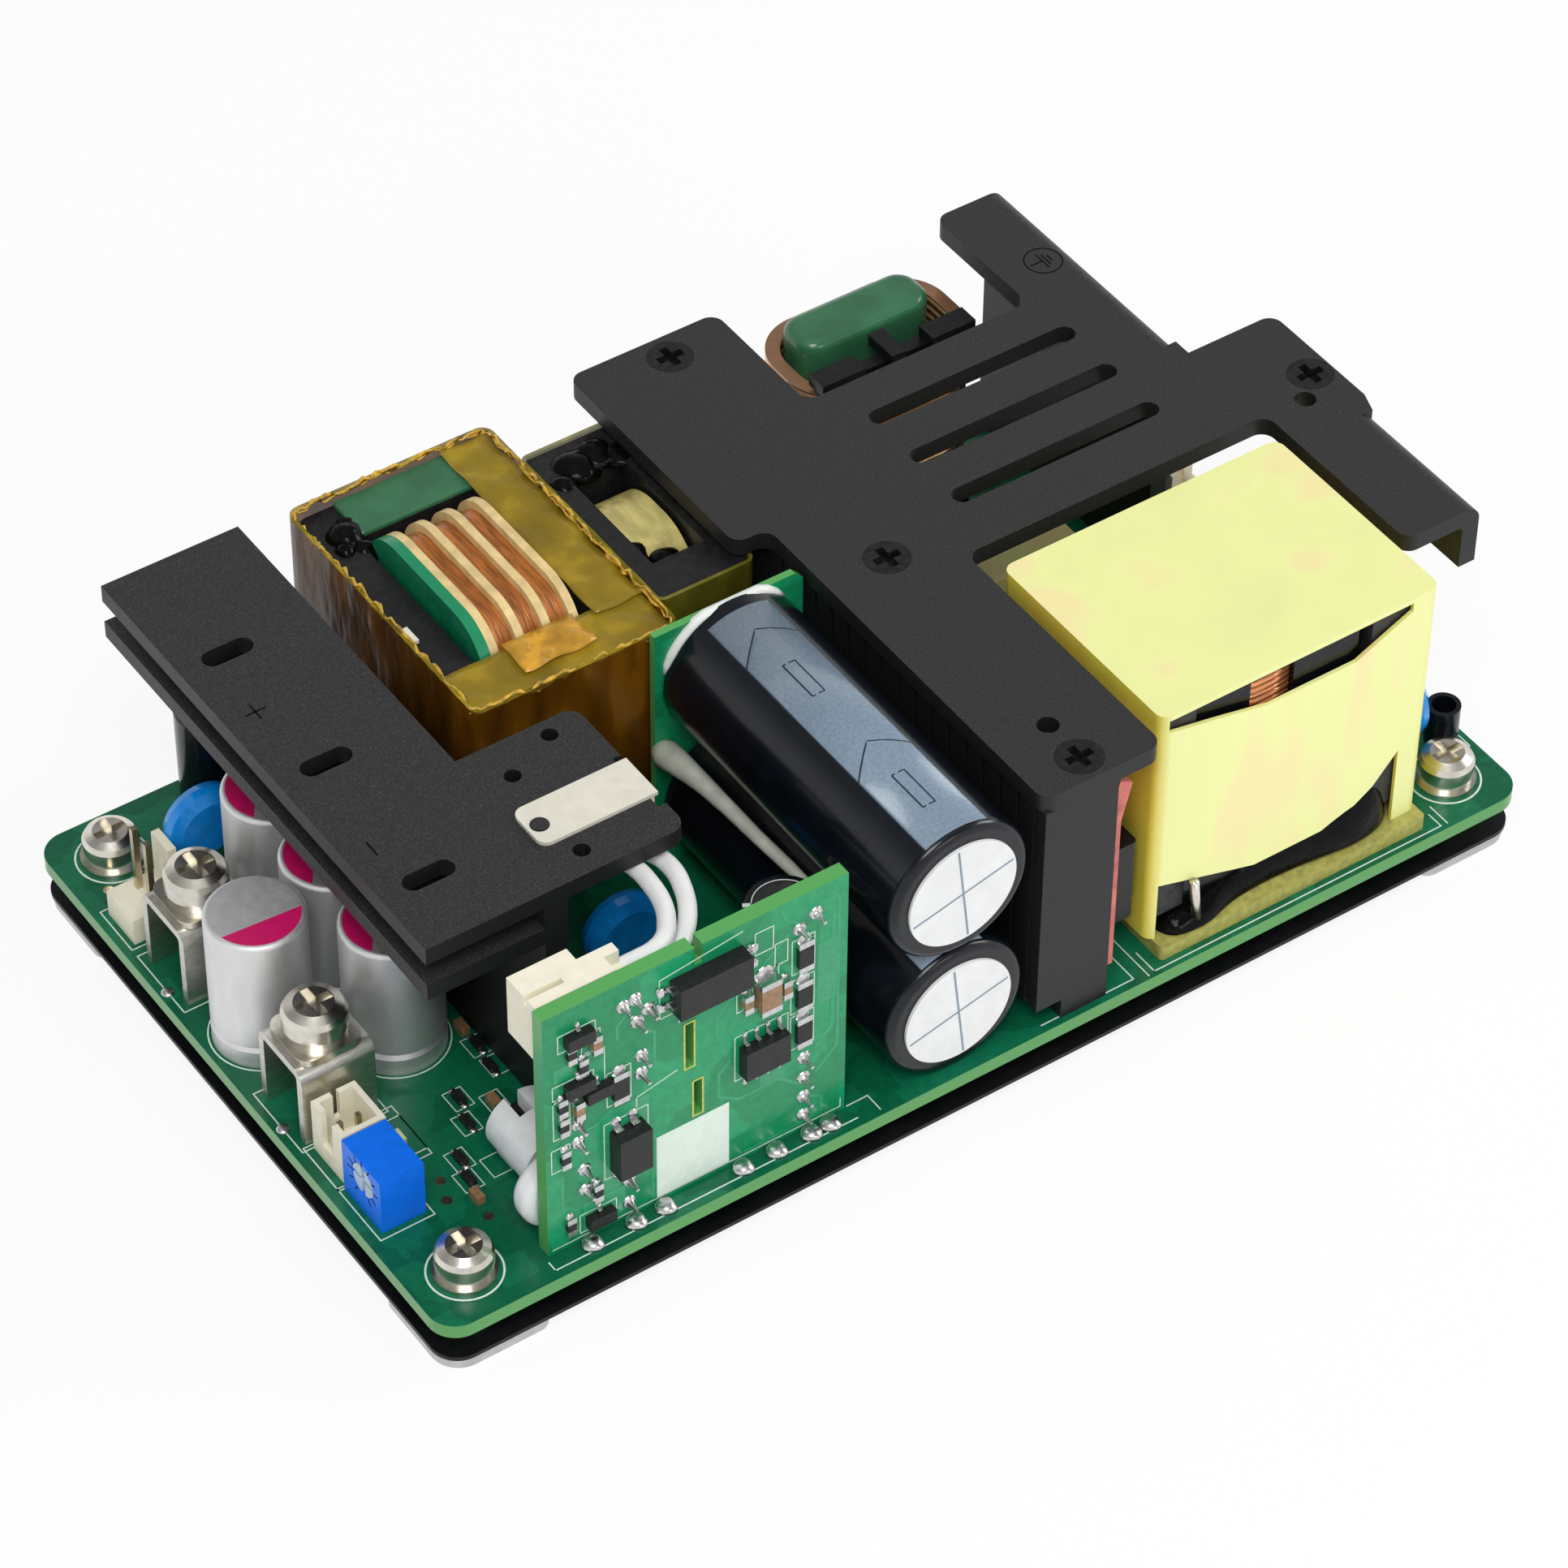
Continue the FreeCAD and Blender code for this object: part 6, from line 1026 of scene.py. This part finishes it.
def trimmer_ticks():
    """Dark tick marks round the trimmer's opening, on the face where its rotor shows: moulded grooves drawn
    in near black as painted shade.
    """
    low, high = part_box("trimmer_body")
    rotor_low, rotor_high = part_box("trimmer_rotor")
    middle = [(a + b) / 2 / MM for a, b in zip(rotor_low, rotor_high)]
    thin = min(range(3), key=lambda axis: rotor_high[axis] - rotor_low[axis])
    near = rotor_low[thin] - low[thin] < high[thin] - rotor_high[thin]
    face = (low if near else high)[thin] / MM
    out = -1 if near else 1
    across = [axis for axis in range(3) if axis != thin]

    def on_face(u, v, h):
        spot = [0, 0, 0]
        spot[thin] = face + out * h
        spot[across[0]] = middle[across[0]] + u
        spot[across[1]] = middle[across[1]] + v
        return tuple(spot)

    s = Shapes()
    for k in range(11):
        a = math.radians(-60 + 30 * k)
        ends = [polar((0, 0), r, a) for r in (2.0, 2.55)]
        s.strip(ends, width=0.16, low=0, high=0.02, place=on_face)
    s.make("trimmer_ticks", "engraved", "trimmer_blue")


def lamp_solder():
    """Solder at the status lamp's ends."""
    low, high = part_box("status_lamp")
    x, y0, y1 = (low[0] + high[0]) / 2 / MM, low[1] / MM, high[1] / MM
    s = Shapes()
    for y in (y0, y1):
        s.dome((x, y, DECK), radius=0.55, height=0.35, steps=12, rings=4)
    s.make("lamp_solder", "solder", "bright_steel", smooth=True)


# Camera, lamps and floor

# The photo's camera, solved from the board's corners, holes and uprights
CAMERA_PLACE = (-241.545, -346.727, 425.73)
AZIMUTH, ELEVATION, ROLL = 34.864, 44.458, 0.56  # in degrees
SENSOR, LENS = 36, 137.97  # in millimetres
# How bright the tent is where it is mirrored, from level and below to straight up
TENT = ((0.0, 1.0), (0.3, 1.0), (0.5, 0.6), (0.62, 0.34), (0.8, 0.34), (1.0, 0.7))
TENT_LIGHT = 0.46  # how strongly it lights matt surfaces
LAMP_TARGET = Vector((0, 0, 0.02))
WHITE = (1, 1, 1, 1)


def camera():
    data = bpy.data.cameras.new("camera")
    thing = new_object("camera", data)
    azimuth, elevation, roll = map(math.radians, (AZIMUTH, ELEVATION, ROLL))
    level = math.cos(elevation)
    ahead = Vector((math.sin(azimuth) * level, math.cos(azimuth) * level, -math.sin(elevation)))
    right = ahead.cross(Vector((0, 0, 1))).normalized()
    up = right.cross(ahead)
    across = right * math.cos(roll) + up * math.sin(roll)
    above = -right * math.sin(roll) + up * math.cos(roll)
    turned = Matrix((across, above, -ahead)).transposed().to_4x4()
    thing.matrix_world = Matrix.Translation(Vector(CAMERA_PLACE) * MM) @ turned
    data.sensor_width = SENSOR
    data.lens = LENS
    data.clip_start, data.clip_end = 0.01, 10
    bpy.context.scene.camera = thing


def lamp(name, place, size, power):
    data = bpy.data.lights.new(name, "AREA")
    data.shape = "RECTANGLE"
    data.size, data.size_y = size
    data.energy = power
    thing = new_object(name, data)
    thing.location = place
    thing.rotation_euler = (LAMP_TARGET - Vector(place)).to_track_quat("-Z", "Y").to_euler()


def either(holder, first, second):
    """One where either of two kinds of ray is."""
    return node(holder, "ShaderNodeMath", {0: first, 1: second}, operation="MAXIMUM").outputs["Value"]


def mix_shaders(holder, factor, first, second):
    return node(holder, "ShaderNodeMixShader", {0: factor, 1: first, 2: second}).outputs["Shader"]


def backdrop(world, color, strength=1.0):
    inputs = {"Color": color, "Strength": strength}
    return node(world, "ShaderNodeBackground", inputs).outputs["Background"]


def studio():
    """A white tent: pure white where it is seen, dimmed from above where it is mirrored, and three lamps."""
    world = bpy.data.worlds.new("world")
    bpy.context.scene.world = world
    world.use_nodes = True
    world.node_tree.nodes.clear()
    coords = node(world, "ShaderNodeTexCoord").outputs["Generated"]
    height = node(world, "ShaderNodeSeparateXYZ", {"Vector": coords}).outputs["Z"]
    greys = [(place, (level, level, level)) for place, level in TENT]
    mirrored = backdrop(world, ramp(world, height, greys))
    rays = node(world, "ShaderNodeLightPath").outputs
    lit = mix_shaders(world, rays["Is Glossy Ray"], backdrop(world, WHITE, TENT_LIGHT), mirrored)
    through = either(world, rays["Is Camera Ray"], rays["Is Transmission Ray"])
    shown = mix_shaders(world, through, lit, backdrop(world, WHITE))
    node(world, "ShaderNodeOutputWorld", {"Surface": shown})
    lamp("key", (-0.34, -0.5, 0.9), size=(0.45, 0.45), power=5.5)
    lamp("front", (0.12, -0.92, 0.5), size=(0.36, 0.14), power=0.9)
    lamp("side", (0.9, -0.25, 0.5), size=(0.4, 0.4), power=3.4)


def floor():
    """White to the camera and in reflections, with the part's own soft shadow kept."""
    half, z, glow_share = 3, -0.0001, 0.86
    mesh = bpy.data.meshes.new("floor")
    corners = [(-half, -half, z), (half, -half, z), (half, half, z), (-half, half, z)]
    mesh.from_pydata(corners, [], [(0, 1, 2, 3)])
    m = material("floor", (0.92, 0.92, 0.92), rough=0.9)
    glow = node(m, "ShaderNodeEmission", {"Color": WHITE}).outputs["Emission"]
    rays = node(m, "ShaderNodeLightPath").outputs
    seen = either(m, either(m, rays["Is Camera Ray"], rays["Is Glossy Ray"]), rays["Is Transmission Ray"])
    share = node(m, "ShaderNodeMath", {0: seen, 1: glow_share}, operation="MULTIPLY").outputs["Value"]
    shown = mix_shaders(m, share, shader(m).outputs["BSDF"], glow)
    feed(m, m.node_tree.nodes["Material Output"].inputs["Surface"], shown)
    mesh.materials.append(m)
    thing = new_object("floor", mesh)


camera()
studio()
floor()
dress()
deck_print()
deck_solder()
control_print()
control_metal()
storage_labels()
output_can_tops()
standing_can_top()
plate_marks()
sealant()
adhesive()
transformer_dress()
tape_folds()
choke_turns()
trimmer_ticks()
lamp_solder()

bpy.context.scene.view_settings.view_transform = "Standard"
